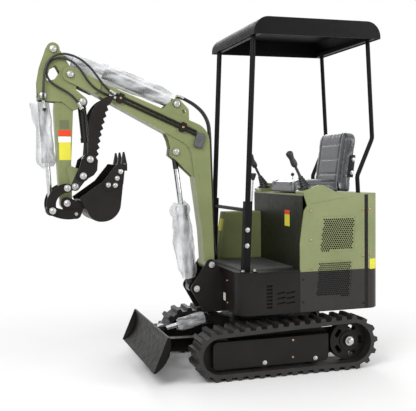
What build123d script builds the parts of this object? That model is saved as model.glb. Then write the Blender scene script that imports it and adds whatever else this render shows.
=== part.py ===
from build123d import *
import math
import os

# Mini excavator, millimetres. X is forward, Y is to the machine's left, Z is up.
# Sizes along X are measured from the slew axis, which SLEW_X places in the part's frame.

# Frame
SLEW_X = -390.0
FIT = 0.3

# Tracks and running gear
OVERALL_WIDTH = 970.0
TRACK_WIDTH = 185.0
WHEEL_X = 442.0
IDLER_R = 110.0
SPROCKET_R = 126.0
BAND = 24.0
LUG = 22.0
LUG_COUNT = 37
LUG_BASE = 40.0
LUG_TIP = 26.0
ROLLER_R = 37.0
ROLLER_X = (142.0, -200.0)
WHEEL_FACE = 52.0
CHEEK = 12.0
CHEEK_RECESS = 45.0
CHEEK_GAP = 81.0
CHEEK_FRONT = 475.0
CHEEK_REAR = -290.0
CHEEK_LOW = 64.0
CHEEK_HIGH = 232.0
AXLE_R = 13.0
HUB_R = 60.0
MOTOR_R = 70.0
SPOKES = 5

# Centre frame and slew ring
BODY_LENGTH = 520.0
BODY_WIDTH = 380.0
BODY_LOW = 175.0
BODY_HIGH = 300.0
BEAM = 100.0
BEAM_X = 190.0
RING_R = 190.0
RING_HOLE_R = 140.0
DECK_LOW = 372.0

# Dozer blade: pins and edges as (x, z)
BLADE_PIVOT = (330.0, 190.0)
BLADE_EDGE = (855.0, 90.0)
BLADE_TOP = (766.0, 297.0)
BLADE_CURVE = 38.0
BLADE_PLATE = 12.0
BLADE_ARM_Y = 215.0
BLADE_ARM = 60.0
BLADE_ARM_DEPTH = 84.0
BLADE_BASE_PIN = (352.0, 312.0)
BLADE_ROD_PIN = (690.0, 243.0)
BLADE_EAR_IN = 34.0

# House
HOUSE_HALF = 424.0
HOUSE_FRONT = 300.0
HOUSE_REAR = -662.0
FRONT_CORNER = 95.0
REAR_CORNER = 60.0
WALL = 8.0
DECK = 20.0
SKIRT_LOW = 378.0
FLOOR_LOW = 634.0
FLOOR = 8.0
MAT = 6.0
PANEL_FRONT = -106.0
PANEL_REAR = -556.0
STRAP = 26.0
HOOD_LOW = 1108.0
GRILLE_RIM = 16.0
GRILLE_PITCH = 15.0
GRILLE_HOLE_R = 5.4
VENT_X = (24.0, -41.0)
VENT_Z = (507.0, 475.0, 443.0)
VENT_LENGTH = 58.0
VENT = 9.0
VENT_TILT = -7.0
SLOTS = 7
SLOT_X = 101.0
SLOT_LOW = 421.0
SLOT_PITCH = 22.0
SLOT_LENGTH = 40.0
SLOT = 14.0
CONSOLE_PEAK = 1174.0
CONSOLE_WIDTH = 110.0
CONSOLE_TOP = 1140.0
CONSOLE_REAR = -310.0
JOYSTICK_X = -176.0
JOYSTICK_Y = 352.0
JOYSTICK_HEAD = (-60.0, 1388.0)
JOYSTICK_BASE = 17.0
JOYSTICK_BASE_R = 42.0
BELLOWS = 5
BELLOWS_PITCH = 16.0
BELLOWS_SINK = 1.2
BELLOWS_TAPER = 4.0
LEVER_FOOT_X = 128.0
LEVER_HEAD = (84.0, 1228.0)
LEVER_Y = (30.0, 110.0)
LEVER_R = 5.0
KNOB_R = 22.0
KNOB_FOOT_R = 9.0
KNOB = 46.0
BLADE_LEVER = (-395.0, -345.0)
BLADE_LEVER_HIGH = 1236.0
BLADE_LEVER_R = 4.0
BLADE_KNOB_R = 13.0
ENGINE_X = -400.0
ENGINE_LENGTH = 330.0
ENGINE_WIDTH = 420.0
ENGINE_HEIGHT = 380.0
SEAT_BOX_X = -130.0
TANK_INNER = 290.0
TANK_TOP = 978.0
TANK_FOOT_X = 196.0
TANK_TOP_X = 140.0

# Seat
SEAT_REAR = -490.0
SEAT_LENGTH = 330.0
SEAT_WIDTH = 420.0
SEAT_THICK = 84.0
SEAT_BACK_HEIGHT = 410.0
SEAT_LEAN = 8.0
SEAT_ROUND = 18.0
SEAT_CORNER = 66.0

# Canopy
ROOF_FRONT = 188.0
ROOF_REAR = -671.0
ROOF_OVERHANG = 2.0
ROOF_LOW = 2097.0
ROOF_HIGH = 2205.0
ROOF_ROUND = 95.0
ROOF_SHEET = 6.0
POST_INSET = 88.0
POST_R = 17.0
REAR_POST_R = 14.0
SLEEVE = 46.0
SLEEVE_TOP = 1078.0
FRONT_FOOT_X = 226.0
FRONT_HEAD_X = 161.0
CROSSBAR_Z = 1022.0
CROSSBAR_R = 12.0
RAIL = 28.0
RAIL_INSET = 8.0
REAR_FOOT_X = -558.0
REAR_KNEE = (-552.0, 1225.0)
REAR_BEND = (-661.0, 1470.0)
REAR_HEAD_X = -628.0
REAR_TURN = 60.0

# Arm pins as (x, z)
BOOM_FOOT = (375.0, 664.0)
BOOM_BASE_PIN = (478.0, 514.0)
BOOM_ROD_PIN = (591.0, 1394.0)
STICK_BASE_PIN = (582.0, 1699.0)
LIFT_EYE = (531.0, 1653.0)
LIFT_EYE_R = 14.0
BOOM_SHIN = (422.0, 876.0)
BOOM_INNER_BEND = (494.0, 1428.0)
BOOM_INNER_R = 110.0
BOOM_OUTER_BEND = (366.0, 1542.0)
BOOM_OUTER_R = 130.0
BOOM_NECK_LOW = (1190.0, 1800.0)
BOOM_NECK_TOP = (1166.0, 1866.0)
FORK_ROOT = (1110.0, 1800.0)
LIFT_EAR = (
    (660.0, 1530.0), (632.0, 1466.0), (622.0, 1422.0), (628.0, 1372.0), (600.0, 1350.0),
    (470.0, 1230.0), (470.0, 1440.0), (560.0, 1520.0),
)
CROWN_ROOT = ((690.0, 1650.0), (498.0, 1580.0), (640.0, 1620.0))
BOOM_TIP = (1253.0, 1867.0)
STICK_ROD_PIN = (1351.0, 2018.0)
BUCKET_BASE_PIN = (1417.0, 1736.0)
BUCKET_PIVOT = (1286.0, 1081.0)
LINK_PIVOT = (1286.0, 1174.0)
LINK_KNEE = (1377.0, 1038.0)
LINK_BEND = (1369.0, 1124.0)
LINK_R = 28.0
LINK_BOW = 14.0
BUCKET_LINK_PIN = (1232.0, 1014.0)
THUMB_BASE_PIN = (1179.0, 1703.0)
THUMB_ROD_PIN = (1147.0, 1348.0)
THUMB_PIVOT = (1191.0, 1247.0)
THUMB_BOLT = (1233.0, 1181.0)
THUMB_FOOT = (1262.0, 1290.0)
THUMB_TUBE = (1125.0, 1282.0)
THUMB_TIP = (990.0, 1738.0)
THUMB_EDGE = ((1016.0, 1686.0), (1070.0, 1505.0), (1098.0, 1340.0))
THUMB_BACK = ((1068.0, 1714.0), (1136.0, 1624.0), (1150.0, 1500.0))
THUMB_PITCH = 37.0
THUMB_TOOTH = 15.0

# Arm sections, half widths across the machine
PIN_R = 16.0
PIN_HEAD_R = 22.0
PIN_HEAD = 12.0
BRACKET_IN = 88.0
BRACKET_PLATE = 16.0
BOOM_HALF = 60.0
BOOM_LOW_DEPTH = 70.0
PIPE_R = 8.0
PIPES = (((985.0, 1757.0), (455.0, 1522.0)), ((985.0, 1731.0), (455.0, 1499.0)))
PIPE_CLAMPS = ((945.0, 1727.0), (546.0, 1550.0))
CLAMP_LENGTH = 34.0
CLAMP_HEIGHT = 62.0
HOSE_R = 8.0
BACK_HOSE_Y = 16.0
BACK_HOSE = (
    (566.0, 1756.0), (508.0, 1733.0), (444.0, 1698.0), (388.0, 1649.0), (353.0, 1582.0), (346.0, 1500.0),
    (331.0, 850.0), (323.0, 780.0), (314.0, 716.0),
)
CLIP_Z = (1380.0, 1140.0, 900.0)
CLIP_WIDTH = 18.0
LONG_HOSE = (
    (986.0, 70.0, 1757.4), (1036.0, 77.0, 1786.0), (1085.0, 86.0, 1850.0), (1135.0, 88.0, 1915.0),
    (1200.0, 89.0, 1966.0), (1285.0, 90.0, 1991.0), (1348.0, 90.0, 1976.0), (1394.0, 89.0, 1928.0),
    (1412.0, 89.0, 1850.0), (1416.0, 88.0, 1770.0), (1416.5, 86.0, 1710.0), (1415.5, 80.0, 1663.6),
)
THUMB_HOSE = (
    (986.0, 70.0, 1731.4), (1042.0, 75.0, 1752.0), (1102.0, 82.0, 1780.0), (1150.0, 86.0, 1828.0),
    (1184.0, 87.0, 1886.0), (1226.0, 84.0, 1934.0), (1272.0, 79.0, 1957.0), (1318.0, 74.0, 1965.0),
    (1359.0, 72.0, 1950.0), (1388.0, 71.0, 1917.0), (1397.0, 71.0, 1875.0), (1384.0, 71.0, 1833.0),
    (1354.0, 72.0, 1803.0), (1305.0, 76.0, 1775.0), (1256.0, 81.0, 1746.0), (1216.0, 82.0, 1706.0),
    (1188.0, 76.0, 1660.0),
)
PORT_R = 10.0
FORK_PLATE = 12.0
EAR_IN = 38.0
EAR_PLATE = 14.0
STICK_HALF = 46.0
STICK_TIP_R = 38.0
STICK_CROWN_R = 40.0
STICK_HUB_R = 44.0
STICK_WINDOW_R = 10.0
SPACER_R = 25.0
STICK_BOX = (
    (1350.0, 1650.0), (1333.0, 1222.0), (1322.0, 1081.0), (1252.0, 1060.0), (1254.0, 1324.0),
    (1236.0, 1651.0), (1258.0, 1760.0), (1340.0, 1760.0),
)
STICK_HEAD = (
    (1334.0, 2054.0), (1386.0, 2036.0), (1430.0, 1915.0), (1447.0, 1823.0), (1447.0, 1712.0),
    (1395.0, 1704.0), (1303.0, 1700.0), (1240.0, 1650.0), (1190.0, 1668.0), (1152.0, 1688.0),
    (1156.0, 1724.0), (1216.0, 1774.0), (1214.0, 1884.0), (1250.0, 1914.0), (1316.0, 2022.0),
)
STICK_WINDOW = ((1372.0, 1905.0), (1336.0, 1925.0), (1312.0, 1880.0), (1345.0, 1836.0), (1398.0, 1822.0))
STICK_PLATE = 12.0
LINK_PLATE = 12.0
THUMB_IN = 98.0
THUMB_PLATE = 12.0
THUMB_BRACKET = 14.0
BOLT_R = 12.0
BUCKET_HALF = 181.0
BUCKET_PLATE = 10.0
BUCKET_CENTRE = (1082.0, 1076.0)
BUCKET_R = 108.0
BUCKET_LIP = (944.0, 1316.0)
BUCKET_CUTTER = (990.0, 1322.0)
BUCKET_WAIST = (1079.0, 1214.0)
BUCKET_TOP = (1224.0, 1114.0)
BUCKET_BACK = (1178.0, 1034.0)
BUCKET_EAR_FOOT = (1200.0, 1062.0)
TOOTH = 76.0
TOOTH_WIDTH = 44.0
TOOTH_THICK = 34.0
TOOTH_TIP = 5.0
TOOTH_ROOT = 40.0
CUTTER_BOLT = (1046.0, 1190.0)
CUTTER_R = 36.0
CUTTER_PLATE = 6.0
CUTTER_DROP = 120.0
SIDE_GAP = 2.0

EYE_R = 34.0
BLADE_BARREL = 215.0
BLADE_BARREL_R = 28.0
BLADE_ROD = 220.0
BLADE_ROD_R = 14.0
BLADE_EYE_HALF = 30.0
BLADE_ROD_EYE_HALF = 28.0
BOOM_BARREL = 535.0
BOOM_BARREL_R = 36.0
BOOM_ROD = 535.0
BOOM_ROD_R = 18.0
BOOM_EYE_HALF = 40.0
BOOM_ROD_EYE_HALF = 30.0
STICK_BARREL = 493.0
STICK_BARREL_R = 32.0
STICK_ROD = 490.0
STICK_ROD_R = 16.0
STICK_EYE_HALF = 32.0
STICK_ROD_EYE_HALF = 36.0
BUCKET_BARREL = 408.0
BUCKET_BARREL_R = 30.0
BUCKET_ROD = 420.0
BUCKET_ROD_R = 15.0
BUCKET_EYE_HALF = 32.0
BUCKET_ROD_EYE_HALF = 30.0
BUCKET_PORT = 84.0
BUCKET_PORT_REACH = 90.0
THUMB_BARREL = 250.0
THUMB_BARREL_R = 26.0
THUMB_ROD = 240.0
THUMB_ROD_R = 13.0
THUMB_EYE_HALF = 32.0
THUMB_PORT = 56.0
THUMB_PORT_REACH = 84.0

# Frame derived
TRACK_OUT = OVERALL_WIDTH / 2
TRACK_IN = TRACK_OUT - TRACK_WIDTH
IDLER_Z = IDLER_R + BAND + LUG
SPROCKET_Z = SPROCKET_R + BAND + LUG
ROLLER_Z = LUG + BAND + FIT + ROLLER_R
CHEEK_OUT = TRACK_OUT - CHEEK_RECESS
CHEEK_IN = CHEEK_OUT - CHEEK
INNER_CHEEK_OUT = CHEEK_IN - CHEEK_GAP
INNER_CHEEK_IN = INNER_CHEEK_OUT - CHEEK
WHEEL_Y = (CHEEK_IN + INNER_CHEEK_OUT) / 2
DECK_TOP = DECK_LOW + DECK
ROOF_HALF = HOUSE_HALF + ROOF_OVERHANG
POST_Y = HOUSE_HALF - POST_INSET
FLOOR_TOP = FLOOR_LOW + FLOOR
MAT_TOP = FLOOR_TOP + MAT
HOOD_TOP = HOOD_LOW + WALL
EAR_LOW = STICK_HALF + SIDE_GAP + 2
EAR_HIGH = EAR_LOW + LINK_PLATE
OUTER_LINK_LOW = EAR_HIGH + SIDE_GAP
OUTER_LINK_HIGH = OUTER_LINK_LOW + LINK_PLATE
SIDE_LINK_LOW = OUTER_LINK_HIGH + SIDE_GAP
SIDE_LINK_HIGH = SIDE_LINK_LOW + LINK_PLATE


def side_face(face, y_low, y_high):
    """Extrude a face drawn in X and Z between two places along Y."""
    return extrude(Pos(0, y_high, 0) * (Plane.XZ * face), amount=y_high - y_low, dir=(0, -1, 0))


def top_face(face, z_low, z_high):
    """Extrude a face drawn in X and Y between two heights."""
    return extrude(Pos(0, 0, z_low) * face, amount=z_high - z_low, dir=(0, 0, 1))


def disc(place, radius):
    """A round face at a place given as (x, z)."""
    return Pos(*place) * Circle(radius)


def polygon(*points):
    """A face from corners given as (x, z)."""
    return Polygon(*points, align=None)


def bar(first, second, first_r, second_r):
    """A link's outline round two pins."""
    rounds = disc(first, first_r) + disc(second, second_r)
    return make_hull(rounds.edges())


def both_sides(piece):
    """A piece and its mirror image across the machine's middle."""
    return piece + mirror(piece, about=Plane.XZ)


def mirrored(piece):
    """The right-hand piece of a left-hand one."""
    return mirror(piece, about=Plane.XZ)


def pin(place, half):
    """A pin across the machine with a head at each end."""
    shank = side_face(disc(place, PIN_R), -half, half)
    heads = both_sides(side_face(disc(place, PIN_HEAD_R), half, half + PIN_HEAD))
    return shank + heads


def stub_pins(place, inner, outer):
    """A pin cut short on both sides of the rod's eye that it carries."""
    shank = side_face(disc(place, PIN_R), inner, outer)
    head = side_face(disc(place, PIN_HEAD_R), outer, outer + PIN_HEAD)
    return both_sides(shank + head)


def direction(first, second):
    """Unit vector and distance from one (x, z) place to another."""
    dx = second[0] - first[0]
    dz = second[1] - first[1]
    length = math.hypot(dx, dz)
    return Vector(dx / length, 0, dz / length), length


def along(first, second, distance):
    """The (x, z) place at a distance from the first towards the second."""
    way, length = direction(first, second)
    return (first[0] + way.X * distance, first[1] + way.Z * distance)


def rod_between(first, second, start, end, radius):
    """A round bar on the line between two pins."""
    way, length = direction(first, second)
    place = along(first, second, start)
    plane = Plane(origin=(place[0], 0, place[1]), x_dir=(0, 1, 0), z_dir=way)
    low = (Align.CENTER, Align.CENTER, Align.MIN)
    return plane * Cylinder(radius, end - start, align=low)


def cylinder_barrel(base, eye, length, radius, rod_r, half):
    """Barrel with its base eye on a pin, and a blind bore that the rod slides in."""
    gland = 30.0
    cap = 26.0
    body = rod_between(base, eye, EYE_R * 0.7, length, radius)
    collar = rod_between(base, eye, length - gland, length, radius + 4)
    ring = side_face(disc(base, EYE_R), -half, half)
    bore = rod_between(base, eye, EYE_R + cap, length + 1, rod_r + FIT)
    hole = side_face(disc(base, PIN_R + FIT), -half, half)
    return body + collar + ring - bore - hole


def cylinder_rod(base, eye, length, rod_r, half):
    """Rod of a given length with a closed eye that turns with it."""
    total = direction(base, eye)[1]
    shaft = rod_between(base, eye, total - length, total - EYE_R * 0.5, rod_r)
    ring = side_face(disc(eye, EYE_R), -half, half)
    return shaft + ring


def belt(idler_r, sprocket_r):
    """The outline that a belt takes round the idler and the sprocket."""
    wheels = disc((WHEEL_X, IDLER_Z), idler_r) + disc((-WHEEL_X, SPROCKET_Z), sprocket_r)
    return make_hull(wheels.edges())


def make_track():
    """Rubber loop with a row of ground lugs, left side."""
    outline = belt(IDLER_R + BAND, SPROCKET_R + BAND)
    loop = outline - belt(IDLER_R, SPROCKET_R)
    path = outline.faces()[0].outer_wire()
    middle = Vector(0, SPROCKET_Z)
    root = BAND / 2
    lug = polygon(
        (-LUG_BASE / 2, -root), (LUG_BASE / 2, -root), (LUG_BASE / 2, 0),
        (LUG_TIP / 2, LUG), (-LUG_TIP / 2, LUG), (-LUG_BASE / 2, 0),
    )
    for index in range(LUG_COUNT):
        share = (index + 0.5) / LUG_COUNT
        place = path.position_at(share)
        run = path.tangent_at(share)
        outward = Vector(-run.Y, run.X)
        if outward.dot(place - middle) < 0:
            outward = -outward
        turn = math.degrees(math.atan2(outward.Y, outward.X)) - 90
        loop += Pos(place.X, place.Y) * Rot(0, 0, turn) * lug
    return side_face(loop, TRACK_IN, TRACK_OUT)


def make_track_frame():
    """Channel of two cheeks and a top beam with the wheels' axles, left side."""
    height = CHEEK_HIGH - CHEEK_LOW
    middle = (CHEEK_HIGH + CHEEK_LOW) / 2
    outer_length = CHEEK_FRONT - CHEEK_REAR
    outer = Pos(CHEEK_REAR + outer_length / 2, middle) * RectangleRounded(outer_length, height, 30)
    inner = bar((-WHEEL_X, SPROCKET_Z), (WHEEL_X, IDLER_Z), height / 2, height / 2)
    beam_low = ROLLER_Z + ROLLER_R + 10
    beam_front = WHEEL_X - IDLER_R - 12
    beam_rear = -WHEEL_X + SPROCKET_R + 20
    beam = polygon(
        (beam_rear, beam_low), (beam_front, beam_low), (beam_front, CHEEK_HIGH), (beam_rear, CHEEK_HIGH)
    )
    frame = side_face(outer, CHEEK_IN, CHEEK_OUT)
    frame += side_face(inner, INNER_CHEEK_IN, INNER_CHEEK_OUT)
    frame += side_face(beam, INNER_CHEEK_OUT, CHEEK_IN)
    frame += side_face(disc((WHEEL_X, IDLER_Z), AXLE_R), INNER_CHEEK_OUT, CHEEK_IN)
    for x in ROLLER_X:
        frame += side_face(disc((x, ROLLER_Z), AXLE_R), INNER_CHEEK_OUT, CHEEK_IN)
    return frame


def make_idler():
    """Front wheel of the track, left side."""
    centre = (WHEEL_X, IDLER_Z)
    low = WHEEL_Y - WHEEL_FACE / 2
    high = WHEEL_Y + WHEEL_FACE / 2
    wheel = side_face(disc(centre, IDLER_R - FIT), low, high)
    dish = side_face(disc(centre, IDLER_R - 22) - disc(centre, 34), high - 14, high)
    return wheel - dish - side_face(disc(centre, AXLE_R + FIT), low, high)


def make_sprocket():
    """Spoked drive wheel, left side."""
    centre = (-WHEEL_X, SPROCKET_Z)
    low = WHEEL_Y - WHEEL_FACE / 2
    high = WHEEL_Y + WHEEL_FACE / 2
    rim = SPROCKET_R - 26
    wheel = disc(centre, SPROCKET_R - FIT) - disc(centre, HUB_R + FIT)
    window = (HUB_R + 12 + rim) / 2
    for index in range(SPOKES):
        turn = 360 / SPOKES * (index + 0.5)
        hole = Pos(*centre) * Rot(0, 0, turn) * Pos(window, 0) * RectangleRounded(rim - HUB_R - 12, 56, 10)
        wheel -= hole
    return side_face(wheel, low, high)


def make_rollers():
    """Bottom rollers, left side."""
    low = INNER_CHEEK_OUT + 4
    high = CHEEK_IN - 4
    rollers = []
    for x in ROLLER_X:
        face = disc((x, ROLLER_Z), ROLLER_R) - disc((x, ROLLER_Z), AXLE_R + FIT)
        rollers.append(side_face(face, low, high))
    return rollers


def make_travel_motor():
    """Drive motor inside the frame's cheek and its hub through the sprocket, left side."""
    centre = (-WHEEL_X, SPROCKET_Z)
    motor = side_face(disc(centre, MOTOR_R), INNER_CHEEK_IN - 78, INNER_CHEEK_IN)
    hub = side_face(disc(centre, HUB_R), INNER_CHEEK_OUT, WHEEL_Y + WHEEL_FACE / 2 + 8)
    cap = side_face(disc(centre, HUB_R - 26), WHEEL_Y + WHEEL_FACE / 2 + 8, WHEEL_Y + WHEEL_FACE / 2 + 22)
    return [motor, hub + cap]


def make_car_body():
    """Centre frame with its cross beams, the blade's pivot ears and its cylinder's ears."""
    middle = (BODY_LOW + BODY_HIGH) / 2
    body = Pos(0, 0, middle) * Box(BODY_LENGTH, BODY_WIDTH, BODY_HIGH - BODY_LOW)
    body = chamfer(body.edges().filter_by(Axis.Z), 60)
    beam_z = BODY_LOW + BEAM / 2 - 40
    for x in (-BEAM_X, BEAM_X):
        body += Pos(x, 0, beam_z) * Box(BEAM, 2 * INNER_CHEEK_IN, BEAM)
    arm_in = BLADE_ARM_Y - BLADE_ARM / 2 - SIDE_GAP
    arm_out = BLADE_ARM_Y + BLADE_ARM / 2 + SIDE_GAP
    ear = bar((BEAM_X, BLADE_PIVOT[1] - 20), BLADE_PIVOT, 40, 36)
    for low, high in ((arm_in - EAR_PLATE, arm_in), (arm_out, arm_out + EAR_PLATE)):
        body += both_sides(side_face(ear, low, high))
    body += both_sides(side_face(disc(BLADE_PIVOT, PIN_R), arm_in, arm_out))
    lug = bar((BODY_LENGTH / 2 - 50, BODY_HIGH - 50), BLADE_BASE_PIN, 44, 30)
    body += both_sides(side_face(lug, BLADE_EAR_IN, BLADE_EAR_IN + EAR_PLATE))
    body += side_face(disc(BLADE_BASE_PIN, PIN_R), -BLADE_EAR_IN, BLADE_EAR_IN)
    return body


def make_slew_ring():
    """Turntable bearing between the centre frame and the deck."""
    return top_face(Circle(RING_R) - Circle(RING_HOLE_R), BODY_HIGH, DECK_LOW - FIT)


def make_blade():
    """Curved blade with end plates, push arms and the rod's ears."""
    way, chord = direction(BLADE_EDGE, BLADE_TOP)
    middle = along(BLADE_EDGE, BLADE_TOP, chord / 2)
    sag = (middle[0] - way.Z * BLADE_CURVE, middle[1] + way.X * BLADE_CURVE)
    back = (
        middle[0] - way.Z * (BLADE_CURVE + BLADE_PLATE),
        middle[1] + way.X * (BLADE_CURVE + BLADE_PLATE)
    )
    low_back = (BLADE_EDGE[0] - BLADE_PLATE, BLADE_EDGE[1])
    top_back = (BLADE_TOP[0] - BLADE_PLATE, BLADE_TOP[1])
    face = ThreePointArc(BLADE_EDGE, sag, BLADE_TOP)
    rear = ThreePointArc(top_back, back, low_back)
    section = make_face([face, Line(BLADE_TOP, top_back), rear, Line(low_back, BLADE_EDGE)])
    blade = side_face(section, -TRACK_OUT, TRACK_OUT)
    cheek = make_face([face, Line(BLADE_TOP, BLADE_EDGE)])
    blade += both_sides(side_face(cheek, TRACK_OUT - BLADE_PLATE, TRACK_OUT))
    root_x = back[0] + 16
    root_z = (BLADE_EDGE[1] + BLADE_TOP[1]) / 2
    depth = BLADE_ARM_DEPTH / 2
    eye = disc(BLADE_PIVOT, 34)
    root = polygon(
        (root_x - 30, root_z - depth), (root_x, root_z - depth),
        (root_x, root_z + depth), (root_x - 30, root_z + depth),
    )
    arm = make_hull((eye + root).edges()) - disc(BLADE_PIVOT, PIN_R + FIT)
    half = BLADE_ARM / 2
    blade += both_sides(side_face(arm, BLADE_ARM_Y - half, BLADE_ARM_Y + half))
    tie = polygon(
        (root_x - 130, root_z - 36), (root_x, root_z - 36), (root_x, root_z - 24),
        (root_x - 130, root_z - 24),
    )
    blade += side_face(tie, -BLADE_ARM_Y, BLADE_ARM_Y)
    ear = bar(BLADE_ROD_PIN, (root_x - 6, BLADE_ROD_PIN[1]), 28, 28)
    blade += both_sides(side_face(ear, BLADE_EAR_IN, BLADE_EAR_IN + EAR_PLATE))
    return blade + stub_pins(BLADE_ROD_PIN, BLADE_EAR_IN - SIDE_GAP, BLADE_EAR_IN + EAR_PLATE)


def house_outline(inset):
    """The house seen from above, brought in by an inset."""
    front = HOUSE_FRONT - inset
    rear = HOUSE_REAR + inset
    half = HOUSE_HALF - inset
    shape = polygon((rear, -half), (front, -half), (front, half), (rear, half))
    shape = fillet(shape.vertices().sort_by(Axis.X)[2:], FRONT_CORNER - inset)
    return fillet(shape.vertices().sort_by(Axis.X)[:2], REAR_CORNER - inset)


def house_wall(x_low, x_high):
    """The stretch of the house's outer wall between two places along X."""
    ring = house_outline(0) - house_outline(WALL)
    width = 2 * HOUSE_HALF + 10
    window = Pos((x_low + x_high) / 2, 0) * Rectangle(x_high - x_low, width)
    return ring & window


def make_deck():
    """Turntable deck under the house."""
    return top_face(house_outline(WALL + FIT), DECK_LOW, DECK_TOP)


def make_boom_bracket():
    """Pair of plates at the house's front that carry the boom and its cylinder."""
    front = bar(BOOM_FOOT, BOOM_BASE_PIN, 34, 34)
    skirt = make_hull((disc(BOOM_BASE_PIN, 34) + disc((BOOM_FOOT[0] + 40, DECK_LOW + 10), 24)).edges())
    web = polygon(
        (HOUSE_FRONT + FIT, DECK_LOW - 14), (BOOM_FOOT[0] + 40, DECK_LOW - 10), BOOM_BASE_PIN,
        (BOOM_FOOT[0], BOOM_FOOT[1]), (BOOM_FOOT[0] - 30, BOOM_FOOT[1] + 10),
        (HOUSE_FRONT + FIT, FLOOR_LOW - 40),
    )
    foot = polygon(
        (HOUSE_FRONT - 90, DECK_LOW - 14), (BOOM_FOOT[0] + 40, DECK_LOW - 14),
        (BOOM_FOOT[0] + 40, DECK_LOW), (HOUSE_FRONT - 90, DECK_LOW),
    )
    plate = front + skirt + web + foot - disc(BOOM_FOOT, PIN_R + FIT) - disc(BOOM_BASE_PIN, PIN_R + FIT)
    plates = both_sides(side_face(plate, BRACKET_IN, BRACKET_IN + BRACKET_PLATE))
    tie = polygon(
        (HOUSE_FRONT + 12, DECK_LOW - 14), (HOUSE_FRONT + 70, DECK_LOW - 14),
        (HOUSE_FRONT + 70, DECK_LOW + 2), (HOUSE_FRONT + 12, DECK_LOW + 2),
    )
    return plates + side_face(tie, -BRACKET_IN, BRACKET_IN)


def make_house_pins():
    """Pins of the boom's foot and of its cylinder."""
    half = BRACKET_IN + BRACKET_PLATE
    return [pin(BOOM_FOOT, half), pin(BOOM_BASE_PIN, half)]


def make_front_skirt():
    """Front wall of the house with its rounded corners."""
    wall = house_wall(HOUSE_FRONT - FRONT_CORNER - 20, HOUSE_FRONT + 1)
    return top_face(wall, SKIRT_LOW, FLOOR_LOW)


def make_side_skirt():
    """Straight side wall below the floor, left side."""
    low = PANEL_FRONT + FIT
    high = HOUSE_FRONT - FRONT_CORNER - 20 - FIT
    face = polygon((low, SKIRT_LOW), (high, SKIRT_LOW), (high, FLOOR_LOW), (low, FLOOR_LOW))
    vent = Rot(0, 0, VENT_TILT) * SlotOverall(VENT_LENGTH, VENT)
    openings = [Pos(x, z) * vent for x in VENT_X for z in VENT_Z]
    for index in range(SLOTS):
        openings.append(
            Pos(SLOT_X, SLOT_LOW + index * SLOT_PITCH) * RectangleRounded(SLOT_LENGTH, SLOT, SLOT / 3),
        )
    return side_face(face - openings, HOUSE_HALF - WALL, HOUSE_HALF)


def make_floor():
    """Footwell plate on the skirts."""
    shape = house_outline(-4)
    window = Pos((SEAT_BOX_X + HOUSE_FRONT + 10) / 2, 0)
    window = window * Rectangle(HOUSE_FRONT + 10 - SEAT_BOX_X, 2 * HOUSE_HALF + 20)
    notch = Pos(SEAT_BOX_X, 0) * Rectangle(2 * (PANEL_FRONT + FIT - SEAT_BOX_X), 4 * HOUSE_HALF)
    inner = Pos(SEAT_BOX_X, 0) * Rectangle(100, 2 * (HOUSE_HALF - WALL - FIT))
    return top_face((shape & window) - (notch - inner), FLOOR_LOW, FLOOR_TOP)


def make_mat():
    """Rubber mat on the floor."""
    rear = SEAT_BOX_X + WALL + FIT
    front = HOUSE_FRONT - 50
    low = -TANK_INNER + 6
    high = POST_Y - SLEEVE / 2 - 6
    face = Pos((rear + front) / 2, (low + high) / 2) * RectangleRounded(front - rear, high - low, 24)
    return top_face(face, FLOOR_TOP, MAT_TOP)


def panel_outline():
    """Side panel's outline with the raised console at its front."""
    return polygon(
        (PANEL_FRONT, SKIRT_LOW), (PANEL_FRONT, 809), (-133, 1011), (-155, 1047), (-127, HOOD_TOP + 20),
        (-234, CONSOLE_PEAK), (-264, CONSOLE_PEAK), (-351, HOOD_TOP + 14),
        (PANEL_REAR, HOOD_TOP), (PANEL_REAR, SKIRT_LOW),
    )


def grille_windows():
    """Upper and lower grille openings of a side panel."""
    upper = polygon((-264, 976), (-494, 975), (-480, 752), (-236, 745))
    lower = polygon((-230, 692), (-469, 689), (-452, 454), (-206, 462))
    return [fillet(face.vertices(), 18) for face in (upper, lower)]


def make_side_panel():
    """Engine side panel with two grille openings, left side."""
    face = panel_outline()
    for window in grille_windows():
        face -= window
    return side_face(face, HOUSE_HALF - WALL, HOUSE_HALF)


def make_grilles():
    """Perforated sheets in a side panel's openings, left side."""
    sheets = []
    for window in grille_windows():
        sheet = offset(window, -FIT)
        field = offset(window, -GRILLE_RIM)
        box = field.bounding_box()
        step = GRILLE_PITCH * math.sqrt(3) / 2
        rows = int((box.max.Y - box.min.Y) / step) + 1
        columns = int((box.max.X - box.min.X) / GRILLE_PITCH) + 1
        hole = RegularPolygon(GRILLE_HOLE_R, 6, rotation=30)
        holes = []
        for row in range(rows):
            for column in range(columns):
                x = box.min.X + (column + row % 2 / 2) * GRILLE_PITCH
                z = box.min.Y + row * step
                if field.faces()[0].is_inside((x, z)):
                    holes.append(Pos(x, z) * hole)
        sheets.append(side_face(sheet - holes, HOUSE_HALF - WALL + 2, HOUSE_HALF - 2))
    return sheets


def make_rear_panel():
    """Wall round the back of the engine space."""
    wall = house_wall(HOUSE_REAR - 1, PANEL_REAR - STRAP)
    return top_face(wall, SKIRT_LOW, HOOD_LOW - FIT)


def make_straps():
    """Vertical cover strips between the side panels and the rear panel."""
    low = PANEL_REAR - STRAP + FIT
    high = PANEL_REAR - FIT
    face = polygon((low, SKIRT_LOW), (high, SKIRT_LOW), (high, HOOD_LOW - FIT), (low, HOOD_LOW - FIT))
    strip = side_face(face, HOUSE_HALF - WALL, HOUSE_HALF - 1)
    return [strip, mirrored(strip)]


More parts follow.
